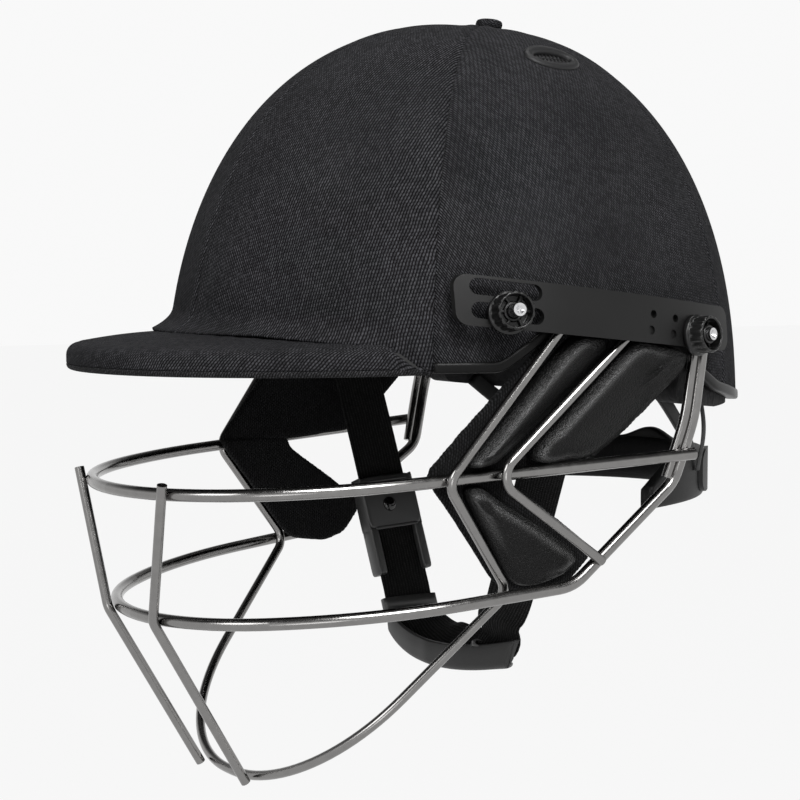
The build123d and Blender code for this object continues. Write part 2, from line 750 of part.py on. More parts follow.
# Thumb nuts: a flanged round knob with a deep face, spokes round the hub and a fluted rim
for end, plane in stud_seats.items():
    face = plane.offset(nut_seat_gap)
    nut_height = nut_heights[end]
    with BuildPart() as nut:
        with BuildSketch(face):
            Circle(nut_base_radius)
        extrude(amount=nut_base_height)
        with BuildSketch(face):
            Circle(nut_face_radius)
        extrude(amount=nut_height)
        with BuildSketch(face.offset(nut_height)):
            Circle(nut_face_radius - nut_wall)
            Circle(nut_hub_radius, mode=Mode.SUBTRACT)
        extrude(amount=-nut_recess, mode=Mode.SUBTRACT)
        with BuildSketch(face.offset(nut_height)):
            Circle(nut_hub_radius)
        extrude(amount=-nut_hub_sinks[end], mode=Mode.SUBTRACT)
        rib_reach = (nut_face_radius - nut_wall / 2 + nut_hub_radius) / 2
        with BuildSketch(face.offset(nut_height - nut_recess - nut_rib)):
            with PolarLocations(rib_reach, nut_rib_count):
                Rectangle(nut_face_radius - nut_hub_radius, nut_rib)
        extrude(amount=nut_rib + nut_rib_height)
        with BuildSketch(face.offset(nut_base_height)):
            with PolarLocations(nut_face_radius + nut_flute_radius / 3, nut_flute_count):
                Circle(nut_flute_radius)
        extrude(amount=nut_height, mode=Mode.SUBTRACT)
        with BuildSketch(face):
            Circle(stud_radius + nut_bore_clearance)
        extrude(amount=nut_height, mode=Mode.SUBTRACT)
    save_pair(nut.part, "thumb_nut_" + end)

# Clear ways for the rods through the soft pads
with BuildPart() as rod_ways:
    add(rod([loop_corner, jaw_lower_bend, jaw_upper_bend, jaw_top], [jaw_bend_radius, jaw_bend_radius],
            rod_diameter + 2 * rod_way))
    add(rod([cheek_rod_top, cheek_rod_bend, cheek_rod_end], [jaw_bend_radius], rod_diameter + 2 * rod_way))
    bar_start = onward(upper_path, -loop_radius)
    add(rod([bar_start, onward(upper_path, upper_end_back)], [], bar_diameter + 2 * rod_way))


def pad_plane(slopes):
    """The outer face of a cheek pad, which leans to the rear and upwards."""
    out, rear_slope, up_slope = slopes
    return Plane(origin=(out, 0, 0), x_dir=(rear_slope, 1, 0), z_dir=(1, -rear_slope, -up_slope))


def pad_block(slopes, shares, corner, start, amount, taper):
    """A cheek pad outline raised from its plane, with drafted sides."""
    with BuildPart() as block:
        with BuildSketch(pad_plane(slopes).offset(start)):
            with BuildLine():
                FilletPolyline(*spread(shares, pad_length, pad_length), radius=corner, close=True)
            make_face()
        extrude(amount=amount, taper=taper)
    return block.part


with BuildPart() as cheek_sheet:
    add(pad_block(upper_plane, sheet_upper_shares, sheet_corner, 0, -sheet_thickness, 0))
    add(pad_block(lower_plane, sheet_lower_shares, sheet_corner, 0, -sheet_thickness, 0))
    add(rod_ways.part, mode=Mode.SUBTRACT)
save_pair(cheek_sheet.part, "cheek_sheet")

pillows = [("cheek_pillow_front", upper_plane, front_pillow_shares),
           ("cheek_pillow_rear", upper_plane, rear_pillow_shares),
           ("cheek_pillow_lower", lower_plane, lower_pillow_shares)]
for name, slopes, shares in pillows:
    with BuildPart() as pillow:
        add(pad_block(slopes, shares, pillow_corner, pillow_gap, pillow_height - pillow_crown, pillow_draft))
        top = pillow.faces().sort_by(Axis(pad_plane(slopes).origin, pad_plane(slopes).z_dir))[-1]
        extrude(top, amount=pillow_crown, taper=pillow_crown_draft)
        add(rod_ways.part, mode=Mode.SUBTRACT)
    save_pair(pillow.part, name)

# Chin strap: one webbing run on each side, bent in front view
with BuildPart() as strap:
    with BuildLine(Plane.XZ) as strap_run:
        FilletPolyline(*strap_path, radius=strap_bend_radii)
    start = strap_run.line @ 0
    with BuildSketch(Plane(origin=(start.X, strap_back, start.Z), x_dir=(0, 1, 0), z_dir=strap_run.line % 0)):
        Rectangle(strap_width, strap_thickness)
    sweep(path=strap_run.line.moved(Location((0, strap_back, 0))))
    with BuildSketch(Plane.YZ):
        with Locations((strap_back, rivet_level)):
            Circle(rivet_radius + rivet_clearance)
    extrude(amount=shell_half_width, mode=Mode.SUBTRACT)
save_pair(strap.part, "strap")

# A headed rivet on each side pins the strap to the shell, and lets it swing.
rivet_inner = strap_path[0][0] - strap_thickness / 2 - 2 * lay_gap
rivet_outer = seat(strap_back, rivet_level, cover_thickness + lay_gap, 0).origin.X - lay_gap
with BuildPart() as strap_rivets:
    with BuildSketch(Plane.YZ.offset(rivet_inner)):
        with Locations((strap_back, rivet_level)):
            Circle(rivet_head_radius)
    extrude(amount=-rivet_head_thickness)
    with BuildSketch(Plane.YZ.offset(rivet_inner)):
        with Locations((strap_back, rivet_level)):
            Circle(rivet_radius)
    extrude(amount=rivet_outer - rivet_inner)
    mirror(about=Plane.YZ)
save(strap_rivets.part, "strap_rivets")

# The buckle lies on the straight run of the right strap, its face towards the chin.
upper_end, lower_end = strap_path[2], strap_path[3]
run_share = (upper_end[1] - buckle_level) / (upper_end[1] - lower_end[1])
buckle_out = upper_end[0] + (lower_end[0] - upper_end[0]) * run_share
strap_way = Vector(lower_end[0] - upper_end[0], 0, lower_end[1] - upper_end[1])
inward = Vector(strap_way.Z, 0, -strap_way.X)
buckle_plane = Plane(origin=(buckle_out, strap_back, buckle_level), x_dir=(0, -1, 0), z_dir=inward)
slot_depth = strap_thickness + 2 * buckle_slot_clearance
with BuildPart() as buckle_body:
    with BuildSketch(buckle_plane.offset(-buckle_thickness / 2)):
        RectangleRounded(buckle_width, buckle_length, buckle_corner)
    extrude(amount=buckle_thickness)
    outline = buckle_body.faces().sort_by(Axis(buckle_plane.origin, buckle_plane.z_dir))
    fillet(outline[0].edges() + outline[-1].edges(), buckle_edge)
    with BuildSketch(buckle_plane.offset(-slot_depth / 2)):
        Rectangle(strap_width + 2 * buckle_slot_clearance, 2 * buckle_length)
    extrude(amount=slot_depth, mode=Mode.SUBTRACT)
button_spot = buckle_plane.from_local_coords(Vector(button_ahead, button_up, buckle_thickness / 2))
button_seat = Plane(origin=button_spot, x_dir=buckle_plane.x_dir, z_dir=buckle_plane.z_dir)
with BuildPart() as buckle_shell:
    add(buckle_body.part)
    with BuildSketch(button_seat):
        Circle(button_dome_radius + button_clearance)
    extrude(amount=-button_depth - button_travel - lay_gap, mode=Mode.SUBTRACT)
    with BuildSketch(buckle_plane):
        with Locations((0, -(buckle_length - buckle_mouth_length) / 2)):
            Rectangle(buckle_mouth, buckle_mouth_length + buckle_edge)
    extrude(amount=buckle_thickness, mode=Mode.SUBTRACT)
with BuildPart() as buckle_housing:
    mirror(buckle_shell.part, about=Plane.YZ)
save(buckle_housing.part, "buckle_housing")

with BuildPart() as release_button_form:
    with BuildSketch(button_seat.offset(-button_depth)):
        Circle(button_dome_radius)
    extrude(amount=button_depth + button_dome_rise)
    rim = release_button_form.faces().sort_by(Axis(button_seat.origin, button_seat.z_dir))[-1].edges()
    fillet(rim, button_dome_rise * button_round_share)
with BuildPart() as release_button:
    mirror(release_button_form.part, about=Plane.YZ)
save(release_button.part, "release_button")

# Chin cup: a front wall with a shelf behind it, bowed forwards and hanging in an arc
with BuildPart() as chin_cup:
    with BuildLine() as cup_run:
        ThreePointArc((-cup_half_span, cup_end_front, cup_end_level), (0, cup_front, cup_level),
                      (cup_half_span, cup_end_front, cup_end_level))
    with BuildSketch(Plane(origin=cup_run.line @ 0, x_dir=(0, 1, 0), z_dir=cup_run.line % 0)):
        with BuildLine():
            Polyline((0, cup_height / 2), (0, -cup_height / 2), (cup_depth, -cup_height / 2),
                     (cup_depth, cup_wall - cup_height / 2), (cup_wall, cup_wall - cup_height / 2),
                     (cup_wall, cup_height / 2), close=True)
        make_face()
    sweep(path=cup_run.line)
    add(strap.part, mode=Mode.SUBTRACT)
    mirror(strap.part, about=Plane.YZ, mode=Mode.SUBTRACT)
save(chin_cup.part, "chin_cup")

# Keepers round the lower ends of the webbing
keeper_share = (keeper_level - strap_path[3][1]) / (strap_path[4][1] - strap_path[3][1])
keeper_out = strap_path[3][0] + (strap_path[4][0] - strap_path[3][0]) * keeper_share
keeper_way = Vector(strap_path[4][0] - strap_path[3][0], 0, strap_path[4][1] - strap_path[3][1])
keeper_plane = Plane(origin=(keeper_out, strap_back, keeper_level), x_dir=(0, 1, 0), z_dir=keeper_way)
with BuildPart() as strap_keepers:
    with BuildSketch(keeper_plane.offset(-keeper_height / 2)):
        keeper_width = strap_width + 2 * keeper_clearance + 2 * keeper_thickness
        keeper_deep = strap_thickness + 2 * keeper_clearance + 2 * keeper_thickness
        RectangleRounded(keeper_width, keeper_deep, keeper_thickness)
        Rectangle(strap_width + 2 * keeper_clearance, strap_thickness + 2 * keeper_clearance,
                  mode=Mode.SUBTRACT)
    extrude(amount=keeper_height)
    mirror(about=Plane.YZ)
save(strap_keepers.part, "strap_keepers")


def nape_arc(outset, wall, levels):
    """An elliptical wall round the back of the neck, in front of nothing but the nape."""
    with BuildPart() as arc:
        with BuildSketch(Plane.XY.offset(levels[0])):
            Ellipse(nape_half_width + outset, nape_reach + outset)
            Ellipse(nape_half_width + outset - wall, nape_reach + outset - wall, mode=Mode.SUBTRACT)
        extrude(amount=levels[1] - levels[0])
        split(bisect_by=Plane.XZ.offset(-nape_front), keep=Keep.BOTTOM)
    return arc.part


bump_levels = (nape_levels[0], nape_levels[1] + nape_bump_rise)
with BuildPart() as nape_outline:
    with BuildSketch(Plane.XZ):
        with BuildLine():
            foot, brim = nape_levels
            Polyline((-2 * nape_half_width, foot), (2 * nape_half_width, foot), (2 * nape_half_width, brim),
                     (nape_bump_half_width, brim), (nape_bump_half_width * nape_bump_share, bump_levels[1]),
                     (-nape_bump_half_width * nape_bump_share, bump_levels[1]), (-nape_bump_half_width, brim),
                     (-2 * nape_half_width, brim), close=True)
        make_face()
        fillet(vertices().group_by(Axis.Y)[-1], nape_corner)
    extrude(amount=-2 * nape_reach)
with BuildPart() as nape_band:
    add(nape_arc(0, nape_thickness, bump_levels))
    add(nape_outline.part, mode=Mode.INTERSECT)
save(nape_band.part, "nape_band")

pad_levels = (nape_levels[0] + nape_pad_margin, nape_levels[1] - nape_pad_margin)
with BuildPart() as nape_pad:
    add(nape_arc(-nape_thickness - pad_gap, nape_pad_thickness, pad_levels))
save(nape_pad.part, "nape_pad")

clip_middle = (nape_levels[0] + nape_levels[1]) / 2
clip_levels = (clip_middle - clip_height / 2, clip_middle + clip_height / 2)
with BuildPart() as nape_clips:
    add(nape_arc(lay_gap + clip_thickness, clip_thickness, clip_levels))
    with BuildSketch(Plane.XZ):
        for side in (-1, 1):
            with Locations((side * clip_out, clip_middle)):
                RectangleRounded(2 * clip_half_width, clip_height, nape_corner)
    extrude(amount=-2 * nape_reach, mode=Mode.INTERSECT)
save(nape_clips.part, "nape_clips")

# Elastic cords from the liner's lower edge to the band
cord_middle = nape_half_width - nape_thickness / 2
cord_back = (nape_reach - nape_thickness / 2) * sqrt(1 - (cord_out / cord_middle) ** 2)
liner_foot = liner_edge_shares[-1][1] * shell_height
with BuildPart() as elastic_cords:
    with BuildSketch(Plane.XY.offset(nape_levels[1] + cord_gap)):
        with Locations((-cord_out, cord_back), (cord_out, cord_back)):
            Circle(cord_radius)
    extrude(amount=liner_foot - nape_levels[1] - 2 * cord_gap)
save(elastic_cords.part, "elastic_cords")
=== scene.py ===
import bmesh
import bpy
import numpy as np
from math import cos, pi, radians, sin
from mathutils import Matrix, Vector


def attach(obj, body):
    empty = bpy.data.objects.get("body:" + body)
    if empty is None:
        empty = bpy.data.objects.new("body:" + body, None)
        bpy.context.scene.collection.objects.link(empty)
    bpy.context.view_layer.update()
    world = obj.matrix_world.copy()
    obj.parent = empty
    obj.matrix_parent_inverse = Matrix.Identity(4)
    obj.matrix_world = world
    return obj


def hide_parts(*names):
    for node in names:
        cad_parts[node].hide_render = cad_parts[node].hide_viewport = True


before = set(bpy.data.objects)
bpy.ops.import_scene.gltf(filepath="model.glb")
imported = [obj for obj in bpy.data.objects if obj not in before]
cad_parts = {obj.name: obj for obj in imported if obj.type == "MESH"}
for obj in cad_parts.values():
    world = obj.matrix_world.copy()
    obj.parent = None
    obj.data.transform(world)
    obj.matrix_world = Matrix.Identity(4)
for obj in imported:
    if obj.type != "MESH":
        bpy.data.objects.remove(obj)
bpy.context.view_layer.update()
mm = 0.001

# The wearer's sides: their left is along +X
sideWords = {1: "left", -1: "right"}

# The dome that every layer of the helmet follows, in millimetres
shellForm = {
    "halfLength": 133.0,
    "halfWidth": 104.0,
    "height": 168.5,
    "fullness": 2.25,
    "buttonBack": 16.0,
}

# Lower edge of the shell in side view: how far back, and how high
shellEdge = {
    "back": [-154.3, -45.9, -31.0, -21.9, 27.3, 32.6, 46.8, 58.0, 73.0, 105.1, 154.3],
    "level": [24.6, 24.9, 34.7, 42.0, 42.0, 30.7, 30.0, 20.1, 13.0, 6.6, 5.1],
    "rounding": 7.0,
}


# Quads between neighbouring rows and columns of a grid. closed joins the last column to the first, and
# wrapped joins the last row to the first.
def gridFaces(rows, columns, closed=False, wrapped=False):
    i = np.arange(rows if wrapped else rows - 1)[:, None]
    j = np.arange(columns if closed else columns - 1)[None, :]
    k = (j + 1) % columns
    low, high = i * columns, (i + 1) % rows * columns
    return np.stack([low + j, low + k, high + k, high + j], -1).reshape(-1, 4)


# Faces of a tube whose rows are rings, with a flat face at each end
def tubeFaces(rows, count):
    ends = [list(range(count))[::-1], list(range((rows - 1) * count, rows * count))]
    return gridFaces(rows, count, closed=True).tolist() + ends


# Several closed bodies as one list of points and one list of faces
def joinedBodies(bodies):
    faces, count = [], 0
    for points, sides in bodies:
        faces += [[corner + count for corner in side] for side in sides]
        count += len(points)
    return np.vstack([points for points, _ in bodies]), faces


# Angles all the way round, without the last one, which is the first again
def fullTurn(count):
    return np.arange(count) * 2 * pi / count


# Vectors of length one
def unit(vectors):
    return vectors / np.linalg.norm(vectors, axis=-1, keepdims=True)


# |v|^p with the sign of v, which squares off a sine or a cosine
def squared(value, power):
    return np.sign(value) * np.abs(value) ** power


# Points of plain sections (aside, upward) set in a frame of two directions about a spot
def inFrame(spot, first, second, a, b):
    return spot + a[..., None] * first + b[..., None] * second


# Faces turned outwards: the sum of (corner - centre) . normal over the faces has to be positive
def turnedOut(points, faces, centre=(0.0, 0.0, 0.0)):
    a, b, c = (points[faces[:, k]] for k in range(3))
    volume = ((a - np.array(centre)) * np.cross(b - a, c - a)).sum()
    return faces[:, ::-1] if volume < 0 else faces


# A new piece from points in millimetres, riding on a body and standing for some nodes
def makePiece(name, points, faces, material, slotName, body="helmet", nodes=(), coords=None):
    points = np.asarray(points, float).reshape(-1, 3)
    mesh = bpy.data.meshes.new(name)
    mesh.from_pydata((points * mm).tolist(), [], [list(f) for f in faces])
    mesh.materials.append(material)
    if coords is not None:
        corners = np.empty(len(mesh.loops), np.int32)
        mesh.loops.foreach_get("vertex_index", corners)
        layer = mesh.uv_layers.new(name="weave")
        layer.data.foreach_set("uv", np.asarray(coords, float).reshape(-1, 2)[corners].ravel())
    mesh.shade_smooth()
    thing = bpy.data.objects.new(name, mesh)
    bpy.context.scene.collection.objects.link(thing)
    if nodes:
        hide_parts(*nodes)
    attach(thing, body)
    return thing


# A modifier with its settings
def addModifier(thing, kind, **settings):
    modifier = thing.modifiers.new(kind.lower(), kind)
    for key, value in settings.items():
        setattr(modifier, key, value)
    return modifier


# The mesh with its modifiers applied
def applyModifiers(thing):
    bpy.context.view_layer.update()
    evaluated = thing.evaluated_get(bpy.context.evaluated_depsgraph_get())
    mesh = bpy.data.meshes.new_from_object(evaluated)
    thing.modifiers.clear()
    thing.data = mesh
    mesh.shade_smooth()
    return thing


# Normals made to point outwards on a closed mesh
def recalculated(piece):
    work = bmesh.new()
    work.from_mesh(piece.data)
    bmesh.ops.remove_doubles(work, verts=work.verts, dist=1e-7)
    bmesh.ops.recalc_face_normals(work, faces=work.faces)
    work.to_mesh(piece.data)
    work.free()
    piece.data.shade_smooth()
    return piece


# Mesh points in millimetres, read and written
def readPoints(thing):
    flat = np.empty(len(thing.data.vertices) * 3)
    thing.data.vertices.foreach_get("co", flat)
    return flat.reshape(-1, 3) / mm


def writePoints(thing, points):
    thing.data.vertices.foreach_set("co", (points * mm).ravel())
    thing.data.update()


# Points evenly spaced along a line, a step apart or a given count
def evenLine(line, step=None, count=None, closed=False):
    line = np.asarray(line, float)
    if closed:
        line = np.vstack([line, line[:1]])
    run = np.concatenate([[0], np.cumsum(np.linalg.norm(np.diff(line, axis=0), axis=1))])
    keep = np.concatenate([[True], np.diff(run) > 1e-9])
    line, run = line[keep], run[keep]
    total = count or max(8, int(round(run[-1] / step)))
    where = np.linspace(0, run[-1], total + 1)[:-1] if closed else np.linspace(0, run[-1], total)
    return np.stack([np.interp(where, run, line[:, k]) for k in range(line.shape[1])], 1)


# Corners eased by the curve (1-t)^2 P0 + 2t(1-t) P1 + t^2 P2, with P0 and P2 a radius from the corner
def roundedOutline(corners, radius, step):
    corner = np.array(corners, float)
    ends = []
    for other in (np.roll(corner, 1, 0), np.roll(corner, -1, 0)):
        way = other - corner
        long = np.linalg.norm(way, axis=1, keepdims=True)
        ends.append(corner + way / long * np.minimum(radius, 0.45 * long))
    t = np.linspace(0, 1, 9)[None, :, None]
    start, end, middle = ends[0][:, None], ends[1][:, None], corner[:, None]
    curve = (1 - t) ** 2 * start + 2 * t * (1 - t) * middle + t ** 2 * end
    return evenLine(curve.reshape(-1, 2), step=step, closed=True)


# Smooth rise from 0 to 1 between two values: 3s^2 - 2s^3
def ease(value, low, high):
    share = np.clip((value - low) / (high - low), 0, 1)
    return share * share * (3 - 2 * share)


# ((x/a)^2 + (y/b)^2)^(n/2) + (z/h)^n - 1, below zero inside the dome
def domeLevel(points, inset=0.0):
    n = shellForm["fullness"]
    width, length = shellForm["halfWidth"] - inset, shellForm["halfLength"] - inset
    around = np.hypot(points[..., 0] / width, points[..., 1] / length)
    return around ** n + (np.maximum(points[..., 2], 0) / (shellForm["height"] - inset)) ** n - 1


# Unit gradient of the dome's level, which points outwards
def domeNormal(points, inset=0.0):
    n = shellForm["fullness"]
    width, length = shellForm["halfWidth"] - inset, shellForm["halfLength"] - inset
    height = shellForm["height"] - inset
    x, y, z = (points[..., k] for k in range(3))
    around = np.maximum(np.hypot(x / width, y / length), 1e-6)
    lean = np.stack([around ** (n - 2) * x / width ** 2, around ** (n - 2) * y / length ** 2,
                     (np.maximum(z, 0) / height) ** (n - 1) / height], -1)
    return unit(lean)


# Points moved along a direction until they lie on the dome, by Newton's steps on its level
def ontoDome(points, direction, inset=0.0):
    moved = np.array(points, float)
    way = np.array(direction, float)
    small = 0.01
    for _ in range(12):
        here = domeLevel(moved, inset)
        slope = (domeLevel(moved + way * small, inset) - here) / small
        moved = moved - way * (here / slope)[..., None]
    return moved


# How far out the dome reaches at a height, as a share of its widest plan
def planShare(z, inset=0.0):
    n = shellForm["fullness"]
    return (1 - (np.maximum(z, 0) / (shellForm["height"] - inset)) ** n) ** (1 / n)


# The point of the dome at a plan angle from the front and a height
def wallPoint(angle, z, inset=0.0):
    share = planShare(z, inset)
    x = (shellForm["halfWidth"] - inset) * share * np.sin(angle)
    y = -(shellForm["halfLength"] - inset) * share * np.cos(angle)
    return np.stack([x, y, z + 0 * x], -1)


edgeBack = np.arange(-160.0, 160.0, 0.5)
edgeLevel = np.interp(edgeBack, shellEdge["back"], shellEdge["level"])
edgeBlur = np.ones(int(shellEdge["rounding"] / 0.5))
edgeLevel = np.convolve(np.pad(edgeLevel, len(edgeBlur) // 2, "edge"), edgeBlur / edgeBlur.sum(), "same")
edgeLevel = edgeLevel[len(edgeBlur) // 2:][:len(edgeBack)]


# Height of the shell's lower edge this far back
def edgeHeight(y):
    return np.interp(y, edgeBack, edgeLevel)


# A new material with values on the shader's own sockets
def newMaterial(name, colour, roughness, **values):
    material = bpy.data.materials.new(name)
    material.use_nodes = True
    shader = material.node_tree.nodes["Principled BSDF"]
    shader.inputs["Base Color"].default_value = (*colour, 1)
    shader.inputs["Roughness"].default_value = roughness
    for key, value in values.items():
        shader.inputs[key.replace("_", " ")].default_value = value
    material.diffuse_color = (*colour, 1)
    return material


# A node with its inputs set to values or joined to other sockets
def addNode(material, kind, inputs=None, **settings):
    tree = material.node_tree
    node = tree.nodes.new("ShaderNode" + kind)
    for key, value in settings.items():
        setattr(node, key, value)
    for key, value in (inputs or {}).items():
        if isinstance(value, bpy.types.NodeSocket):
            tree.links.new(value, node.inputs[key])
        else:
            node.inputs[key].default_value = value
    return node


# One Math node
def calc(material, operation, first, second=0.0, third=0.0):
    return addNode(material, "Math", {0: first, 1: second, 2: third}, operation=operation).outputs[0]


# A colour between two by a share
def mixColours(material, share, first, second):
    ends = {0: share, 6: (*first, 1), 7: (*second, 1)}
    return addNode(material, "Mix", ends, data_type="RGBA").outputs[2]


# Colour and bump joined to the shader
def joinShader(material, colour=None, height=None, depth=0.0, strength=1.0, roughness=None):
    tree = material.node_tree
    shader = tree.nodes["Principled BSDF"]
    if colour is not None:
        tree.links.new(colour, shader.inputs["Base Color"])
    if roughness is not None:
        tree.links.new(roughness, shader.inputs["Roughness"])
    if height is not None:
        bump = addNode(material, "Bump", {"Strength": strength, "Distance": depth, "Height": height})
        tree.links.new(bump.outputs[0], shader.inputs["Normal"])


# The piece's own place in metres
def objectCoords(material):
    return addNode(material, "TexCoord").outputs["Object"]


# Smooth noise, from 0 to 1, with so many features per metre
def noise(material, scale, detail=2.0, coords=None):
    inputs = {"Scale": scale, "Detail": detail, "Roughness": 0.6}
    inputs["Vector"] = coords or objectCoords(material)
    return addNode(material, "TexNoise", inputs).outputs[0]


# Woven cloth on the piece's own coordinates in millimetres. Ribs follow |sin(pi u / pitch)|, and each is
# broken into floats by |sin(pi (v / run + offset k))|, where k is the rib's number. A slow noise bends the
# ribs, another wears the cloth in patches, and each float has a random tone of its own, which also stands in
# for painted glints on the threads. The colour is painted shade and light: raised threads lighter, grooves
# darker.
def wovenCloth(name, dark, light, pitch, run, offset, depth, **values):
    material = newMaterial(name, light, 0.85, **values)
    coords = addNode(material, "UVMap", uv_map="weave").outputs[0]
    wander = addNode(material, "TexNoise", {"Vector": coords, "Scale": 0.09, "Detail": 3.0}).outputs[1]
    bent = addNode(material, "VectorMath", {0: wander, 1: (1.6, 1.6, 0)}, operation="MULTIPLY").outputs[0]
    moved = addNode(material, "VectorMath", {0: coords, 1: bent}, operation="ADD").outputs[0]
    parts = addNode(material, "SeparateXYZ", {0: moved})
    across = calc(material, "DIVIDE", parts.outputs[0], pitch)
    rib = calc(material, "ABSOLUTE", calc(material, "SINE", calc(material, "MULTIPLY", across, pi)))
    shift = calc(material, "MULTIPLY", calc(material, "FLOOR", across), offset)
    along = calc(material, "ADD", calc(material, "DIVIDE", parts.outputs[1], run), shift)
    cell = calc(material, "ABSOLUTE", calc(material, "SINE", calc(material, "MULTIPLY", along, pi)))
    thread = calc(material, "MULTIPLY", rib, calc(material, "MULTIPLY_ADD", cell, 0.5, 0.5))
    place = {0: calc(material, "FLOOR", across), 1: calc(material, "FLOOR", along)}
    crossing = addNode(material, "CombineXYZ", place).outputs[0]
    # each float's random tone, which also serves as a painted glint on the thread
    floatToneAndGlint = addNode(material, "TexWhiteNoise", {0: crossing}).outputs[0]
    worn = addNode(material, "TexNoise", {"Vector": coords, "Scale": 0.02, "Detail": 4.0}).outputs[0]
    share = calc(material, "MULTIPLY", calc(material, "MULTIPLY_ADD", floatToneAndGlint, 0.6, 0.55),
                 calc(material, "ADD", worn, 0.4))
    # painted light on raised threads and painted shade in the grooves, times the floats' tones and the
    # patchy wear
    weaveShadeAndTone = calc(material, "MULTIPLY", calc(material, "POWER", thread, 1.6), share)
    joinShader(material, mixColours(material, weaveShadeAndTone, dark, light), thread, depth, 1.0)
    return material


# Moulded plastic or rubber: a fine erosion grain, and faint handling marks in the roughness
def mouldedPlastic(name, colour, roughness, grain, depth, **values):
    material = newMaterial(name, colour, roughness, **values)
    fine = noise(material, grain, 2.0)
    marks = noise(material, 35.0, 4.0)
    light = tuple(c * 1.35 + 0.002 for c in colour)
    rough = calc(material, "MULTIPLY_ADD", marks, 0.22, roughness - 0.11)
    joinShader(material, mixColours(material, marks, colour, light), fine, depth, 0.5, rough)
    return material


# Satin steel: drawn lines and a light mottle
def satinSteel(name, colour, roughness):
    material = newMaterial(name, colour, roughness, Metallic=1.0)
    mottle = noise(material, 220.0, 5.0)
    drawn = noise(material, 1400.0, 2.0)
    dark = tuple(c * 0.72 for c in colour)
    rough = calc(material, "MULTIPLY_ADD", mottle, 0.16, roughness - 0.08)
    joinShader(material, mixColours(material, mottle, dark, colour), drawn, 0.00003, 0.35, rough)
    return material


# Leathery foam skin: rounded pebbles between fine creases
def grainedFoam(name, colour, light, roughness, scale, depth):
    material = newMaterial(name, colour, roughness, Specular_IOR_Level=0.3)
    coords = objectCoords(material)
    cells = addNode(material, "TexVoronoi", {"Vector": coords, "Scale": scale, "Randomness": 1.0}).outputs[0]
    fine = noise(material, scale * 1.6, 3.0, coords)
    height = calc(material, "ADD", calc(material, "MULTIPLY", cells, -1.0), fine)
    rough = calc(material, "MULTIPLY_ADD", fine, 0.5, roughness - 0.25)
    joinShader(material, mixColours(material, fine, colour, light), height, depth, 0.8, rough)
    return material


# The foam's shine follows the pillow's own "ridge" attribute, from dull flats to glinting ridges
def ridgeShine(material, dull, bright):
    ridge = addNode(material, "Attribute", attribute_name="ridge").outputs["Fac"]
    span = addNode(material, "MapRange", {0: ridge, 1: 0.0, 2: 1.0, 3: dull, 4: bright})
    shader = material.node_tree.nodes["Principled BSDF"]
    material.node_tree.links.new(span.outputs[0], shader.inputs["Specular IOR Level"])


coverTwill = wovenCloth("blackTwill", (0.002, 0.002, 0.0022), (0.062, 0.062, 0.067), 0.95, 1.7, 0.37, 0.0004,
                        Sheen_Weight=0.0, Specular_IOR_Level=0.05)
liningTwill = wovenCloth("liningTwill", (0.002, 0.002, 0.002), (0.05, 0.05, 0.053), 0.95, 1.9, 0.37, 0.0003,
                         Sheen_Weight=0.02, Sheen_Roughness=0.5, Specular_IOR_Level=0.06)
webbing = wovenCloth("strapWebbing", (0.002, 0.002, 0.002), (0.022, 0.022, 0.022), 1.5, 0.9, 0.5, 0.0003,
                     Sheen_Weight=0.01, Sheen_Roughness=0.5, Specular_IOR_Level=0.08)
padKnit = wovenCloth("padKnit", (0.001, 0.001, 0.001), (0.018, 0.018, 0.019), 1.1, 1.5, 0.5, 0.0003,
                     Sheen_Weight=0.02, Sheen_Roughness=0.6, Specular_IOR_Level=0.06)
padSkin = grainedFoam("padSkin", (0.0015, 0.0015, 0.0015), (0.006, 0.006, 0.006), 0.33, 1300.0, 0.0005)
ridgeShine(padSkin, 0.16, 0.95)
linerFoam = grainedFoam("linerFoam", (0.006, 0.006, 0.006), (0.014, 0.014, 0.015), 0.85, 320.0, 0.0005)
gripSteel = satinSteel("barSteel", (0.27, 0.265, 0.26), 0.2)
studSteel = satinSteel("studSteel", (0.7, 0.7, 0.71), 0.25)
satinPlate = mouldedPlastic("platePlastic", (0.004, 0.004, 0.004), 0.42, 2600.0, 0.00005,
                            Specular_IOR_Level=0.26)
glossNut = mouldedPlastic("nutPlastic", (0.003, 0.003, 0.003), 0.3, 2200.0, 0.00003, Specular_IOR_Level=0.4)
ventRubber = mouldedPlastic("ventPlastic", (0.008, 0.008, 0.0085), 0.5, 2600.0, 0.00004,
                            Specular_IOR_Level=0.3)
buckleBlack = mouldedPlastic("bucklePlastic", (0.03, 0.03, 0.03), 0.34, 2200.0, 0.00003,
                             Specular_IOR_Level=0.4)
cupRubber = mouldedPlastic("cupRubber", (0.02, 0.02, 0.02), 0.5, 1800.0, 0.00005, Specular_IOR_Level=0.3)
napeRubber = mouldedPlastic("napeRubber", (0.003, 0.003, 0.003), 0.5, 1800.0, 0.00005,
                            Specular_IOR_Level=0.2)
shellBlack = mouldedPlastic("shellPlastic", (0.005, 0.005, 0.005), 0.45, 2000.0, 0.00004)
trimGloss = mouldedPlastic("edgeTrim", (0.004, 0.004, 0.004), 0.36, 1200.0, 0.00008, Specular_IOR_Level=0.1)
cordBlack = mouldedPlastic("elasticCord", (0.03, 0.03, 0.03), 0.6, 900.0, 0.0001, Specular_IOR_Level=0.2)
buttonGloss = newMaterial("buttonGloss", (0.003, 0.003, 0.003), 0.08)
print("materials made")


# A CAD node shown with a finish of its own
def finishNode(material, *names):
    for name in names:
        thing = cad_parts[name]
        if not thing.material_slots:
            thing.data.materials.append(material)
        for place in thing.material_slots:
            place.material = material


camera = {
    "place": (725.8, -497.5, 70.2),
    "right": (0.5413, 0.8408, 0.0),
    "up": (-0.0615, 0.0396, 0.9973),
    "back": (0.8386, -0.5399, 0.0731),
    "lens": 90.0,
    "sensor": 36.0,
}


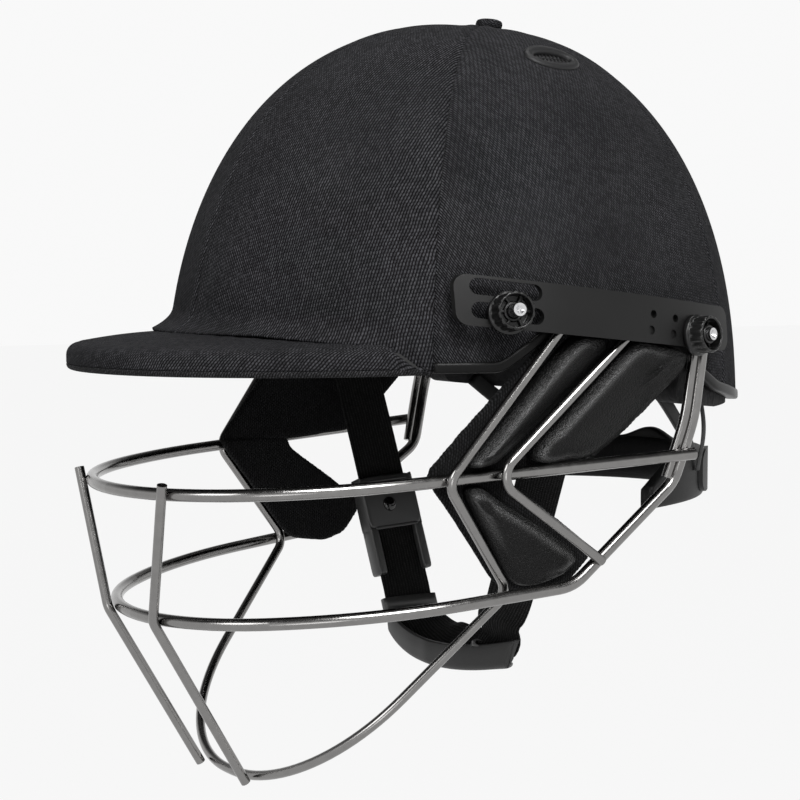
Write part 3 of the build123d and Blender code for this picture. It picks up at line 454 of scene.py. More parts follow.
# The camera that was fitted to the photograph
def placeCamera():
    lens = bpy.data.cameras.new("photoCamera")
    lens.lens = camera["lens"]
    lens.sensor_width = camera["sensor"]
    lens.clip_start = 0.01
    lens.clip_end = 100.0
    eye = bpy.data.objects.new("photoCamera", lens)
    bpy.context.scene.collection.objects.link(eye)
    turn = Matrix([camera["right"], camera["up"], camera["back"]]).transposed()
    eye.matrix_world = Matrix.Translation(Vector(camera["place"]) * mm) @ turn.to_4x4()
    bpy.context.scene.camera = eye


studio = {
    "floorLevel": -0.55,
    "background": 0.945,
    "overhead": 0.06,
    "ambient": 0.2,
    "fade": (0.25, 0.6),
    "shadowShare": 0.03,
    "floorSpan": 12.0,
    "lamps": {  # place, target, size and power
        "keyLamp": ((1.45, -0.35, 1.45), (0.0, 0.0, 0.08), 1.0, 50.0),
        "frontLamp": ((0.5, -1.9, 0.9), (0.0, 0.0, 0.05), 0.8, 12.0),
        "topLamp": ((-0.2, 0.5, 1.9), (0.0, 0.0, 0.1), 0.9, 9.0),
        "lowLamp": ((1.6, -1.3, -0.3), (0.0, 0.0, 0.0), 0.7, 4.0),
    },
}


# Which rays see the background as it is: camera, glossy and transmission rays
def seenDirectly(tree):
    rays = tree.nodes.new("ShaderNodeLightPath")
    total = rays.outputs["Is Camera Ray"]
    for name in ("Is Glossy Ray", "Is Transmission Ray"):
        add = tree.nodes.new("ShaderNodeMath")
        add.operation = "MAXIMUM"
        tree.links.new(total, add.inputs[0])
        tree.links.new(rays.outputs[name], add.inputs[1])
        total = add.outputs[0]
    return total


# A pale world, which only the lens and mirror rays see at full strength, and four square lamps
def lightStudio():
    world = bpy.data.worlds.new("studio")
    bpy.context.scene.world = world
    world.use_nodes = True
    tree = world.node_tree
    background = tree.nodes["Background"]
    coords = tree.nodes.new("ShaderNodeTexCoord")
    parts = tree.nodes.new("ShaderNodeSeparateXYZ")
    tree.links.new(coords.outputs["Generated"], parts.inputs[0])
    rise = tree.nodes.new("ShaderNodeMapRange")  # pale round the horizon, darker overhead
    for key, value in enumerate((*studio["fade"], studio["background"], studio["overhead"]), 1):
        rise.inputs[key].default_value = value
    tree.links.new(parts.outputs[2], rise.inputs[0])
    choose = tree.nodes.new("ShaderNodeMix")
    tree.links.new(seenDirectly(tree), choose.inputs[0])
    choose.inputs[2].default_value = studio["ambient"]
    tree.links.new(rise.outputs[0], choose.inputs[3])
    tree.links.new(choose.outputs[0], background.inputs["Strength"])
    background.inputs["Color"].default_value = (1, 1, 1, 1)

    for name, (place, target, size, power) in studio["lamps"].items():
        lamp = bpy.data.lights.new(name, "AREA")
        lamp.shape = "SQUARE"
        lamp.size = size
        lamp.energy = power
        holder = bpy.data.objects.new(name, lamp)
        bpy.context.scene.collection.objects.link(holder)
        way = Vector(target) - Vector(place)
        holder.matrix_world = Matrix.Translation(place) @ way.to_track_quat("-Z", "Y").to_matrix().to_4x4()


# A floor of white paper that the lens sees as bright as the world, with a faint shadow
def paperFloor():
    span, level = studio["floorSpan"], studio["floorLevel"]
    corners = [(-span, -span, level), (span, -span, level), (span, span, level), (-span, span, level)]
    mesh = bpy.data.meshes.new("floor")
    mesh.from_pydata(corners, [], [(0, 1, 2, 3)])
    floor = bpy.data.objects.new("floor", mesh)
    bpy.context.scene.collection.objects.link(floor)
    material = newMaterial("floorPaper", (0.86, 0.86, 0.86), 0.9)
    tree = material.node_tree
    glow = addNode(material, "Emission", {"Color": (1, 1, 1, 1), "Strength": studio["background"]})
    paper = tree.nodes["Principled BSDF"].outputs[0]
    soft = addNode(material, "MixShader", {0: studio["shadowShare"], 1: glow.outputs[0], 2: paper})
    mix = addNode(material, "MixShader", {0: seenDirectly(tree), 1: paper, 2: soft.outputs[0]})
    tree.links.new(mix.outputs[0], tree.nodes["Material Output"].inputs[0])
    mesh.materials.append(material)


placeCamera()
lightStudio()
paperFloor()
bpy.context.scene.view_settings.view_transform = "Standard"
print("camera and studio set")


peak = {
    "halfWidth": 89.0,
    "reach": 178.6,
    "root": 70.0,
    "foot": 23.5,
    "rim": 10.0,
    "rise": 5.4,
    "topShare": 0.56,
    "rimRadius": 4.2,
    "footRadius": 2.0,
    "split": 2.6,
    "endLevels": (23.5, 35.0),
    "endFronts": (-73.5, -90.5),
    "thickness": 0.9,
    "swell": 0.7,
    "ripple": 0.12,
    "twillAngle": 57.0,
    "clothRadius": 105.0,
}


# Top of the peak's board: it climbs from the rim towards the shell, and its ends fall away
def peakTop(x, y):
    rim = peak["foot"] + peak["rim"]
    share = np.hypot(x / peak["halfWidth"], (y + peak["root"]) / (peak["reach"] - peak["root"]))
    top = rim + peak["rise"] * np.clip((1 - share) / (1 - peak["topShare"]), 0, 1)
    (low, high), (rear, front) = peak["endLevels"], peak["endFronts"]
    return np.minimum(top, low + (rear - y) * (high - low) / (rear - front))


cover = {
    "panels": {"front": (0.0, 45.0), "side": (45.0, 129.0), "rear": (129.0, 180.0)},
    "twillAngles": {"front": 98.0, "side": 52.0, "rear": 60.0},
    "start": 5.0,
    "seamGap": 0.06,
    "seamDip": 0.6,
    "seamReach": 0.8,
    "seamFold": (0.28, 3.2, 1.5),
    "seamColumns": [0.0, 0.35, 0.8, 1.4, 2.2, 3.4, 5.0],
    "gathers": (0.22, 9.0),
    "waves": 0.16,
    "thickness": 0.9,
    "step": 1.5,
    "flare": 7.5,
    "flareHeight": 9.0,
    "flareEnd": 43.0,
    "frontAcross": [0.0, 42.0, 60.5, 74.8, 78.5, 80.7, 83.2, 85.9],
    "frontLevels": [38.4, 38.4, 36.5, 34.7, 32.0, 29.9, 27.0, 24.6],
}


# Height where the cloth ends: on the peak in front, and at the shell's lower edge elsewhere
def coverEnd(x, y):
    front = np.interp(np.abs(x), cover["frontAcross"], cover["frontLevels"]) + 0.4
    return np.where(y < peak["endFronts"][0] - 0.4, front, edgeHeight(y))


# A panel's columns: they fan out from its apex beside the button and run down the dome to the cloth's end.
# It gives the points, how far each lies down its column, and the columns' plan angles.
def panelColumns(first, last, apex):
    near = np.array(cover["seamColumns"]) / shellForm["halfLength"]
    inner = np.arange(first + 0.05, last - 0.05, cover["step"] / shellForm["halfLength"])
    angles = np.concatenate([first + near, inner, (last - near)[::-1]])
    ray = np.stack([np.sin(angles), -np.cos(angles)], 1)
    size = np.array([shellForm["halfWidth"], shellForm["halfLength"]])
    a = ((ray / size) ** 2).sum(1)
    b = 2 * (apex * ray / size ** 2).sum(1)
    c = ((apex / size) ** 2).sum() - 1
    far = (-b + np.sqrt(b * b - 4 * a * c)) / (2 * a)
    n = shellForm["fullness"]
    share = np.sin(np.linspace(0, pi / 2, 500)) ** (2 / n)
    along = cover["start"] + (far[:, None] - cover["start"]) * share[None, :]
    plan = apex + along[..., None] * ray[:, None, :]
    around = np.minimum(np.hypot(plan[..., 0] / size[0], plan[..., 1] / size[1]), 1)
    z = shellForm["height"] * (1 - around ** n) ** (1 / n)
    line = np.concatenate([plan, z[..., None]], -1)
    spare = z - coverEnd(plan[..., 0], plan[..., 1])
    steps = np.linalg.norm(np.diff(line, axis=1), axis=2)
    run = np.concatenate([np.zeros((len(angles), 1)), np.cumsum(steps, 1)], 1)
    rows = int(run[:, -1].max() / cover["step"])
    points = np.empty((rows, len(angles), 3))
    down = np.empty((rows, len(angles)))
    for j in range(len(angles)):
        below = np.argmax(spare[j] < 0)
        past = spare[j, below - 1] / (spare[j, below - 1] - spare[j, below])
        end = run[j, below - 1] + past * (run[j, below] - run[j, below - 1])
        down[:, j] = np.linspace(0, end, rows)
        for k in range(3):
            points[:, j, k] = np.interp(down[:, j], run[j], line[j, :, k])
    return points, down, angles


# One cloth panel: the dome plus a dip -a exp(-(d/w)^2) at each seam, a fold beside it, slight gathers and
# the flare over the peak
def coverPanel(panel, side):
    first, last = np.radians(cover["panels"][panel])
    middle, half = (first + last) / 2, (last - first) / 2
    shift = cover["seamGap"] / 2 / np.sin(half)
    pole = np.array([0.0, shellForm["buttonBack"]])
    apex = pole + shift * np.array([np.sin(middle), -np.cos(middle)])
    points, down, angles = panelColumns(first, last, apex)
    rows = len(points)
    left = down[-1] - down

    offset = points[..., :2] - pole
    gather = np.zeros(left.shape)
    fold, foldPlace, foldReach = cover["seamFold"]
    for angle in (first, last):
        seam = np.abs(offset[..., 0] * np.cos(angle) + offset[..., 1] * np.sin(angle))
        gather -= cover["seamDip"] * np.exp(-(seam / cover["seamReach"]) ** 2)
        gather += fold * np.exp(-((seam - foldPlace) / foldReach) ** 2)
    turn = angles[None, :] * shellForm["halfLength"]
    tuck, tuckReach = cover["gathers"]
    gather += tuck * np.exp(-left / tuckReach) * np.sin(turn * 0.52 + 0.8 * np.sin(turn * 0.13))
    gather += cover["waves"] * np.sin(turn * 0.061 + 1.3) * np.sin(down * 0.047 + 0.4)
    flare = cover["flare"] * (1 - ease(np.degrees(angles), cover["flareEnd"] - 14, cover["flareEnd"]))
    flare = flare[None, :] * np.clip(1 - left / cover["flareHeight"], 0, 1) ** 2.2
    outward = domeNormal(points)
    points = points + outward * gather[..., None]
    points = points + unit(outward * np.array([1, 1, 0])) * flare[..., None]

    across = offset[..., 0] * np.cos(middle) + offset[..., 1] * np.sin(middle)
    tilt = radians(cover["twillAngles"][panel])
    across = side * across
    coords = np.stack([across * sin(tilt) - down * cos(tilt), across * cos(tilt) + down * sin(tilt)], -1)
    points[..., 0] *= side
    points = points.reshape(-1, 3)
    faces = turnedOut(points, gridFaces(rows, len(angles)), (0, 0, 60))
    if panel == "side":
        faces = faces[ventDistance(points[faces].mean(1), side) > 1]
    word = sideWords[side]
    piece = makePiece("cover" + panel.capitalize() + word.capitalize(), points, faces, coverTwill,
                      "cover_cloth", nodes=["cover_" + panel + "_" + word], coords=coords)
    addModifier(piece, "SOLIDIFY", thickness=cover["thickness"] * mm, offset=-1, use_quality_normals=True)
    return piece


vent = {
    "plan": (51.0, 12.5),
    "halfLength": 15.0,
    "halfWidth": 8.6,
    "flange": 4.6,
    "cutInset": 2.4,
    "slatRows": 3,
    "slatPitch": 2.2,
    "slatWidth": 0.8,
    "railWidth": 0.6,
    "slatOverlap": 0.4,
    "slatDepths": (-1.2, -3.2),
    # the bezel: distance in from the oval, and height over the dome
    "section": [(0.0, -0.2), (0.0, 0.35), (0.25, 0.75), (0.8, 1.1), (1.8, 1.3), (3.0, 1.15), (3.9, 0.75),
                (4.4, 0.2), (4.6, -0.6), (4.65, -4.4), (3.7, -4.4), (3.5, -0.9), (2.0, -0.5)],
}


# The vent's plane: its middle on the dome, the long axis to the rear, the short axis down the side
def ventFrame(side):
    x, y = vent["plan"]
    middle = ontoDome(np.array([[x, y, 150.0]]), (0, 0, 1))
    outward = domeNormal(middle)[0]
    rearward = unit(np.cross([0.0, 0.0, 1.0], outward))
    downward = np.cross(rearward, outward)
    flip = np.array([side, 1, 1])
    return middle[0] * flip, rearward * flip, downward * flip, outward * flip


# 1 on an oval a little larger than the vent's throat, less inside it, and large lower down the dome
def ventDistance(points, side):
    middle, rearward, downward, _ = ventFrame(side)
    away = points - middle
    along = (away @ rearward) / (vent["halfLength"] - vent["cutInset"])
    over = (away @ downward) / (vent["halfWidth"] - vent["cutInset"])
    return np.where(away[:, 2] > -vent["halfLength"] * 1.3, np.hypot(along, over), 9)


# The lattice's slats and rails as rectangles (x low, x high, y low, y high) inside the throat's oval
def ventBlocks():
    long, short = vent["halfLength"] - vent["flange"], vent["halfWidth"] - vent["flange"]
    rows, lap, rail = vent["slatRows"], vent["slatOverlap"], vent["railWidth"] / 2
    blocks = []
    for row in range(rows):
        low = -short + row * 2 * short / rows
        high = low + 2 * short / rows
        for k in range(-6, 7):
            x = (k + 0.5 * (row % 2)) * vent["slatPitch"]
            reach = 1 - (x / long) ** 2
            if reach <= 0.05:
                continue
            limit = short * reach ** 0.5 + lap
            half = vent["slatWidth"] / 2
            blocks.append((x - half, x + half, max(low, -limit), min(high, limit)))
        if row:
            limit = long * max(0, 1 - (low / short) ** 2) ** 0.5 + lap
            blocks.append((-limit, limit, low - rail, low + rail))
    return np.array([block for block in blocks if block[3] - block[2] > rail])


# Bezel: a section carried round an oval and set on the dome, with a lattice of slats in its throat
def ventGrille(side):
    middle, rearward, downward, outward = ventFrame(side)
    turn = fullTurn(96)
    section = np.array(vent["section"])
    inset, rise = section[:, :1], section[:, 1:]
    along = (vent["halfLength"] - inset) * np.cos(turn)
    over = (vent["halfWidth"] - inset) * np.sin(turn)
    seated = ontoDome(inFrame(middle, rearward, downward, along, over), outward)
    points = (seated + outward * rise[..., None]).reshape(-1, 3)
    faces = turnedOut(points, gridFaces(len(section), len(turn), closed=True, wrapped=True))

    block = ventBlocks()
    x = block[:, [0, 1, 1, 0, 0, 1, 1, 0]]
    y = block[:, [2, 2, 3, 3, 2, 2, 3, 3]]
    z = np.repeat(vent["slatDepths"], 4)[None, :] + 0 * x
    slats = (inFrame(middle, rearward, downward, x, y) + z[..., None] * outward).reshape(-1, 3)
    cube = np.array([(0, 1, 2, 3), (7, 6, 5, 4), (0, 4, 5, 1), (1, 5, 6, 2), (2, 6, 7, 3), (3, 7, 4, 0)])
    sides = (cube[None] + 8 * np.arange(len(block))[:, None, None]).reshape(-1, 4)
    sides = turnedOut(slats, sides)
    word = sideWords[side]
    return makePiece("ventGrille" + word.capitalize(), np.vstack([points, slats]),
                     np.vstack([faces, sides + len(points)]), ventRubber, "vent_plastic",
                     nodes=["vent_grille_" + word])


button = {
    "lift": 0.2,
    "pleats": 12,
    "pleatShare": 0.018,
    "pleatStart": 4.5,
    # radius and height
    "section": [(0.02, 0.0), (4.6, 0.0), (5.2, 0.2), (5.85, 1.3), (6.0, 2.3), (5.85, 3.2), (5.3, 3.95),
                (4.2, 4.35), (2.6, 4.55), (0.9, 4.6), (0.02, 4.6)],
}


# A cloth-covered disc: a section (radius, height) turned about the dome's normal
def topButton():
    spot = ontoDome(np.array([[0.0, shellForm["buttonBack"], 160.0]]), (0, 0, 1))
    outward = domeNormal(spot)[0]
    spot = spot[0] + outward * button["lift"]
    aside = np.array([1.0, 0.0, 0.0])
    back = np.cross(outward, aside)
    section = np.array(button["section"])
    turn = fullTurn(48)
    pinch = button["pleatShare"] * (1 + np.cos(button["pleats"] * turn))
    radius = section[:, :1] * (1 - pinch * (section[:, :1] > button["pleatStart"]))
    a, b = radius * np.cos(turn), radius * np.sin(turn)
    points = inFrame(spot, aside, back, a, b) + section[:, 1][:, None, None] * outward
    coords = np.stack([a + section[:, 1:], b], -1)
    return recalculated(makePiece("topButton", points, tubeFaces(len(section), len(turn)), coverTwill,
                                  "cover_cloth", nodes=["top_button"], coords=coords))


for panelName in cover["panels"]:
    for way in sideWords:
        coverPanel(panelName, way)
for way in sideWords:
    ventGrille(way)
topButton()
print("cloth cover made")


# Plan points of the peak: on the dome, and on the rim's oval, column by column
def peakColumns(count):
    rear = peak["endFronts"][0]
    deep = peak["reach"] - peak["root"]
    last = np.arccos((-rear - peak["root"]) / deep)
    share = np.linspace(-1, 1, count)
    angle = share * last
    outer = np.stack([peak["halfWidth"] * np.sin(angle), -peak["root"] - deep * np.cos(angle)], 1)
    foot = planShare(np.array(peak["foot"]))
    end = np.arccos(-rear / (shellForm["halfLength"] * foot))
    return angle, share * end, outer


# The peak's cloth: a section carried across the columns, from the dome out over the rim and in below
def peakSkin(upper):
    count = 181
    angle, around, outer = peakColumns(count)
    rim, radius, split = peak["foot"] + peak["rim"], peak["rimRadius"], peak["rim"] - peak["split"]
    bend = np.linspace(0, pi / 2, 8)
    if upper:
        insets = np.concatenate([np.full(34, radius), radius * (1 - np.sin(bend[1:])), np.zeros(5),
                                 [0.8, 1.6]])
        shares = np.concatenate([np.linspace(0, 1, 34), np.ones(14)])
        drops = np.concatenate([np.zeros(34), radius * (1 - np.cos(bend[1:])),
                                np.linspace(radius, split - 0.15, 6)[1:], [split + 0.25] * 2])
    else:
        radius = peak["footRadius"]
        insets = np.concatenate([[1.6, 0.8, 0.1], radius * (1 - np.cos(bend)), np.full(26, radius)])
        shares = np.concatenate([np.ones(11), np.linspace(1, 0, 27)[1:]])
        drops = np.concatenate([[split - 0.1, split - 0.05, split + 0.3],
                                peak["rim"] - radius * (1 - np.sin(bend)), np.full(26, peak["rim"])])
    level = (rim - drops)[:, None] + np.zeros(count)
    inner = wallPoint(around[None, :], level, -0.3)[..., :2]
    way = outer[None] - inner
    long = np.maximum(np.linalg.norm(way, axis=-1), 1e-6)
    reach = np.maximum(long - insets[:, None], 0) * shares[:, None] / long
    plan = inner + way * reach[..., None]
    x, y = plan[..., 0], plan[..., 1]
    if upper:
        z = np.minimum(peakTop(x, y), rim + peak["rise"]) - drops[:, None]
        z = np.maximum(z, peak["foot"] + peak["split"] - 0.3)
        swell = peak["swell"] * np.sin(pi * np.clip(reach, 0, 1)) * (shares[:, None] < 1)
        ripple = peak["ripple"] * np.sin(angle * 40 + 2.0 * reach) * (1 - reach) * (drops[:, None] == 0)
        z = z + swell + ripple
    else:
        z = np.minimum(level, peakTop(x, y))
    z = np.minimum(z, np.maximum(peakTop(x, y) + 0.8, peak["foot"] + 0.3))
    points = np.stack([x, y, z], -1)
    steps = np.linalg.norm(np.diff(points, axis=0), axis=2)
    down = np.concatenate([np.zeros((1, count)), np.cumsum(steps, 0)])
    across = angle[None, :] * peak["clothRadius"]
    tilt = radians(peak["twillAngle"])
    coords = np.stack([across * sin(tilt) + down * cos(tilt), across * cos(tilt) - down * sin(tilt)], -1)
    flat = points.reshape(-1, 3)
    rows = len(insets)
    faces = turnedOut(flat, gridFaces(rows, count), (0, -110, 28))
    name, node = ("peakCover", "peak_cover") if upper else ("peakLining", "peak_lining")
    slotName = "cover_cloth" if upper else "lining_cloth"
    cloth = coverTwill if upper else liningTwill
    piece = makePiece(name, flat, faces, cloth, slotName, nodes=[node], coords=coords)
    addModifier(piece, "SOLIDIFY", thickness=peak["thickness"] * mm, offset=-1, use_quality_normals=True)
    return piece


peakSkin(True)
peakSkin(False)
finishNode(shellBlack, "peak_core")


trim = {
    "section": [(0.2, 3.2), (0.55, 3.4), (0.95, 3.1), (1.1, 2.2), (1.1, 0.2), (0.8, -0.5), (0.1, -0.8),
                (-3.2, -0.8), (-4.2, -0.6), (-4.5, 0.2), (-4.4, 1.4), (-4.25, 1.4), (-4.2, 0.0), (0.2, 0.0)],
    "front": -71.0,
}


# The glossy trim: a section (outwards, upwards) carried round the shell's lower edge
def edgeTrim():
    turn = np.linspace(0, 1, 320)
    z = np.full(turn.shape, 24.6)
    for _ in range(30):
        share = planShare(z)
        start = np.arccos(-trim["front"] / (shellForm["halfLength"] * share[0]))
        angle = start + turn * (2 * pi - 2 * start)
        y = -shellForm["halfLength"] * share * np.cos(angle)
        z = 0.5 * z + 0.5 * edgeHeight(y)
    line = wallPoint(angle, z)
    outward = domeNormal(line)
    upward = np.cross(outward, unit(np.gradient(line, axis=0)))
    upward *= np.sign(upward[:, 2:])
    section = np.array(trim["section"])
    points = line[:, None] + outward[:, None] * section[None, :, :1] + upward[:, None] * section[None, :, 1:]
    return recalculated(makePiece("edgeTrim", points, tubeFaces(len(line), len(section)), trimGloss,
                                  "edge_trim", nodes=["edge_binding"]))


edgeTrim()
print("peak and trim made")


nut = {
    "seats": {"front": (-47.5, 47.3), "rear": (42.8, 37.0)},
    "plateOutset": 9.6,
    "plateBow": 4.0,
    "seatGap": 0.3,
    "heights": {"front": 11.2, "rear": 8.4},
    "hubDrops": {"front": 4.2, "rear": 1.2},
    "flutes": 14,
    "fluteDepth": 0.5,
    "fluteRadius": 7.5,
    "fluteWidth": 0.62,
    "ribs": 6,
    "ribHeight": 2.0,
    "ribRadius": 5.0,
    "ribSides": (0.5, 0.75),
    "recess": 5.4,
}


# Where a stud stands on the plate's face: a point on the bowed dome and its outward normal
def plateSeat(y, z):
    spot = np.array([[110.0, y - nut["plateBow"], z]])
    spot = ontoDome(spot, (1, 0, 0), -nut["plateOutset"])
    outward = domeNormal(spot, -nut["plateOutset"])[0]
    return spot[0] + np.array([0, nut["plateBow"], 0]), outward


# A fluted knob: a section (radius, height, flute share, rib share) turned about the stud's axis
def thumbNut(end, side):
    spot, outward = plateSeat(*nut["seats"][end])
    spot = spot + outward * nut["seatGap"]
    aside = unit(np.cross([0.0, 0.0, 1.0], outward))
    upward = np.cross(outward, aside)
    top = nut["heights"][end]
    floor = top - nut["recess"]
    hub = top - nut["hubDrops"][end]
    section = np.array([
        (2.62, 0.0, 0, 0), (8.1, 0.0, 0, 0), (8.4, 0.3, 0, 0), (8.4, 1.7, 0, 0), (8.2, 2.05, 0, 0),
        (7.75, 2.2, 0, 0), (7.55, 2.35, 0.4, 0), (7.5, 2.7, 1, 0), (7.5, top * 0.5, 1, 0),
        (7.5, top - 0.9, 1, 0), (7.4, top - 0.45, 0.9, 0), (7.2, top - 0.12, 0.7, 0), (6.9, top, 0.4, 0),
        (6.55, top, 0, 0), (6.32, top - 0.15, 0, 0), (6.2, top - 0.5, 0, 0),
        (6.15, floor + nut["ribHeight"], 0, 0), (6.1, floor, 0, 1), (5.6, floor, 0, 1), (4.9, floor, 0, 1),
        (4.2, floor, 0, 1), (3.95, floor, 0, 1), (3.9, hub - 0.3, 0, 0), (3.7, hub, 0, 0),
        (2.9, hub, 0, 0), (2.62, hub - 0.3, 0, 0), (2.62, 1.0, 0, 0),
    ])
    count = nut["flutes"] * 12
    turn = fullTurn(count)
    offFlute = (turn * nut["flutes"] / (2 * pi) + 0.5) % 1 - 0.5
    beside = offFlute * 2 * pi / nut["flutes"] * nut["fluteRadius"]
    flute = nut["fluteDepth"] * np.exp(-(beside / nut["fluteWidth"]) ** 2)
    offRib = ((turn * nut["ribs"] / (2 * pi) + 0.5) % 1 - 0.5) * 2 * pi / nut["ribs"]
    rib = 1 - ease(np.abs(offRib) * nut["ribRadius"], *nut["ribSides"])
    radius = section[:, :1] - section[:, 2:3] * flute
    height = section[:, 1:2] + section[:, 3:4] * rib * nut["ribHeight"]
    points = inFrame(spot, aside, upward, radius * np.cos(turn), radius * np.sin(turn))
    points = (points + height[..., None] * outward).reshape(-1, 3) * np.array([side, 1, 1])
    faces = turnedOut(points, gridFaces(len(section), count, closed=True, wrapped=True))
    word = sideWords[side]
    return makePiece("thumbNut" + end.capitalize() + word.capitalize(), points, faces, glossNut,
                     "nut_plastic", body="nut_" + end + "_" + word, nodes=["thumb_nut_" + end + "_" + word])


for endName in nut["seats"]:
    for way in sideWords:
        thumbNut(endName, way)
finishNode(satinPlate, "side_plate_left", "side_plate_right", "plate_backing_left", "plate_backing_right")
finishNode(studSteel, "front_studs", "rear_studs", "strap_rivets")
finishNode(glossNut, "stud_spacers")
finishNode(gripSteel, "upper_bar", "lower_bar", "chin_loop", "cheek_rods", "front_rods", "brace_rods")
finishNode(shellBlack, "shell")
finishNode(linerFoam, "liner")
print("plates, nuts and grille finished")


cheek = {
    "length": 100.0,
    "planes": {"upper": (94.7, 0.06, 0.161), "lower": (96.4, 0.12, 0.10)},
    "sheetThickness": 3.6,
    "sheetSoftness": 1.1,
    "sheetVoxel": 1.4,
    "sheetWave": 0.25,
    "sheets": {
        "upper": [(-0.18, 0.415), (-0.26, 0.355), (-0.56, 0.046), (-0.74, -0.15), (-0.71, -0.185),
                  (-0.37, -0.17), (-0.03, -0.145), (0.03, -0.125), (0.165, -0.025), (0.33, 0.12),
                  (0.435, 0.22), (0.435, 0.26), (0.4, 0.288), (0.305, 0.294), (0.26, 0.35), (0.15, 0.362),
                  (0.1, 0.415)],
        "lower": [(-0.74, -0.15), (-0.702, -0.212), (-0.611, -0.323), (-0.422, -0.583), (-0.372, -0.628),
                  (-0.183, -0.659), (-0.068, -0.63), (0.029, -0.529), (0.025, -0.479), (-0.125, -0.364),
                  (-0.36, -0.202), (-0.37, -0.15)],
    },
    "pillowCorner": 5.0,
    # a pillow's rim: distance in from its outline, and share of its height
    "rimDepths": [0.0, 0.15, 0.5, 1.0, 1.5, 2.1, 2.9, 3.9, 5.2],
    "rimClimbs": [0.02, 0.3, 0.52, 0.7, 0.81, 0.89, 0.945, 0.98, 1.0],
    "ridgeShine": (3.2, 1.5),
    "puff": (3.0, 0.8),
    # way: the direction (back, up) in which the height falls. drop: the share it falls by. ridge: how far
    # the highest line lies from the first edge. rim: how much lower that edge is.
    "pillows": {
        "front": {
            "plane": "upper", "tall": 9.2, "way": (0.77, -0.64), "drop": 0.62, "ridge": 4.5, "rim": 2.2,
            "outline": [(-0.6, -0.105), (-0.55, -0.05), (-0.183, 0.355), (-0.13, 0.39), (-0.005, 0.375),
                        (0.03, 0.34), (0.0, 0.28), (-0.245, 0.062), (-0.465, -0.12), (-0.58, -0.125)],
        },
        "rear": {
            "plane": "upper", "tall": 9.2, "way": (0.74, -0.67), "drop": 0.66, "ridge": 4.5, "rim": 2.2,
            "outline": [(-0.31, -0.105), (-0.29, -0.045), (0.105, 0.345), (0.155, 0.365), (0.395, 0.315),
                        (0.43, 0.28), (0.415, 0.232), (0.316, 0.135), (0.153, -0.01), (0.03, -0.1),
                        (-0.03, -0.123), (-0.2, -0.13)],
        },
        "lower": {
            "plane": "lower", "tall": 7.912, "way": (-0.5, -0.87), "drop": 0.55, "ridge": 4.0, "rim": 1.8,
            "outline": [(-0.585, -0.222), (-0.56, -0.2), (-0.51, -0.2), (-0.456, -0.237), (-0.242, -0.365),
                        (-0.07, -0.482), (-0.06, -0.53), (-0.121, -0.59), (-0.226, -0.622), (-0.305, -0.62),
                        (-0.36, -0.585), (-0.42, -0.49), (-0.51, -0.347)],
        },
    },
    "rodClearance": 2.35,
    "rods": [[(105.0, -18.6, 45.6), (94.2, -69.2, -18.3), (89.9, -37.2, -63.6)],
             [(106.0, 16.0, 42.6), (99.8, -50.6, -16.7), (102.2, 0.4, -52.8)],
             [(94.0, -75.0, -17.9), (97.5, 45.5, -11.6)]],
}


# A cheek plane: x = out + rear slope y + up slope z. It gives points from (back, up, proud of the plane).
def cheekPoints(plane, flat, proud):
    out, rear, rise = plane
    normal = np.array([1, -rear, -rise])
    scale = np.linalg.norm(normal)
    back, up = flat[..., 0], flat[..., 1]
    base = np.stack([out + rear * back + rise * up, back, up], -1)
    return base + (normal / scale) * np.asarray(proud)[..., None]


# Points pushed out of the round ways of the rods beside a pad
def clearOfRods(points, clearance):
    for rod in cheek["rods"]:
        for start, end in zip(np.array(rod)[:-1], np.array(rod)[1:]):
            way = end - start
            share = np.clip(((points - start) @ way) / (way @ way), 0, 1)
            away = points - (start + share[:, None] * way)
            far = np.linalg.norm(away, axis=1)
            lift = np.clip(clearance - far, 0, None) / np.maximum(far, 1e-6)
            points = points + away * lift[:, None]
    return points


puffing = {
    "frames": 20,
    "settings": {
        "use_pressure": True,
        "quality": 6,
        "mass": 0.2,
        "tension_stiffness": 25,
        "compression_stiffness": 25,
        "bending_stiffness": 4,
        "vertex_group_mass": "held",
    },
}


# A cloth simulation with air pressure puffs a pad. The held points stay, and no point moves further than
# the cap.
def puff(piece, pressure, cap, held):
    before = readPoints(piece)
    group = piece.vertex_groups.new(name="held")
    group.add(np.flatnonzero(held).tolist(), 1.0, "REPLACE")
    cloth = addModifier(piece, "CLOTH")
    for key, value in puffing["settings"].items():
        setattr(cloth.settings, key, value)
    cloth.settings.uniform_pressure_force = pressure
    cloth.settings.effector_weights.gravity = 0
    cloth.point_cache.frame_start = 1
    cloth.point_cache.frame_end = puffing["frames"]
    scene = bpy.context.scene
    for number in range(1, puffing["frames"] + 1):
        scene.frame_set(number)
    applyModifiers(piece)
    scene.frame_set(1)
    moved = readPoints(piece) - before
    far = np.linalg.norm(moved, axis=1, keepdims=True)
    writePoints(piece, before + moved * np.minimum(1, cap / np.maximum(far, 1e-9)))
    return piece


# Rings drawn in from a pillow's outline to its middle line, with their distances in and their shares of
# the height
def pillowRings(outline):
    middle = outline.mean(0)
    _, _, axes = np.linalg.svd(outline - middle)
    spread = (outline - middle) @ axes.T
    reach = max(0.0, np.abs(spread[:, 0]).max() - np.abs(spread[:, 1]).max())
    way = middle + np.clip(spread[:, :1], -reach, reach) * axes[:1] - outline
    long = np.linalg.norm(way, axis=1)
    rim = np.minimum(np.array(cheek["rimDepths"])[:, None], 0.6 * long)
    inner = np.linspace(0, 0.86, 7)[1:]
    depth = np.vstack([rim, rim[-1] + (long - rim[-1]) * inner[:, None]])
    climb = np.concatenate([cheek["rimClimbs"], 1 + 0.05 * np.sin(inner * pi / 2)])
    return outline + way[None] / long[None, :, None] * depth[..., None], depth, climb


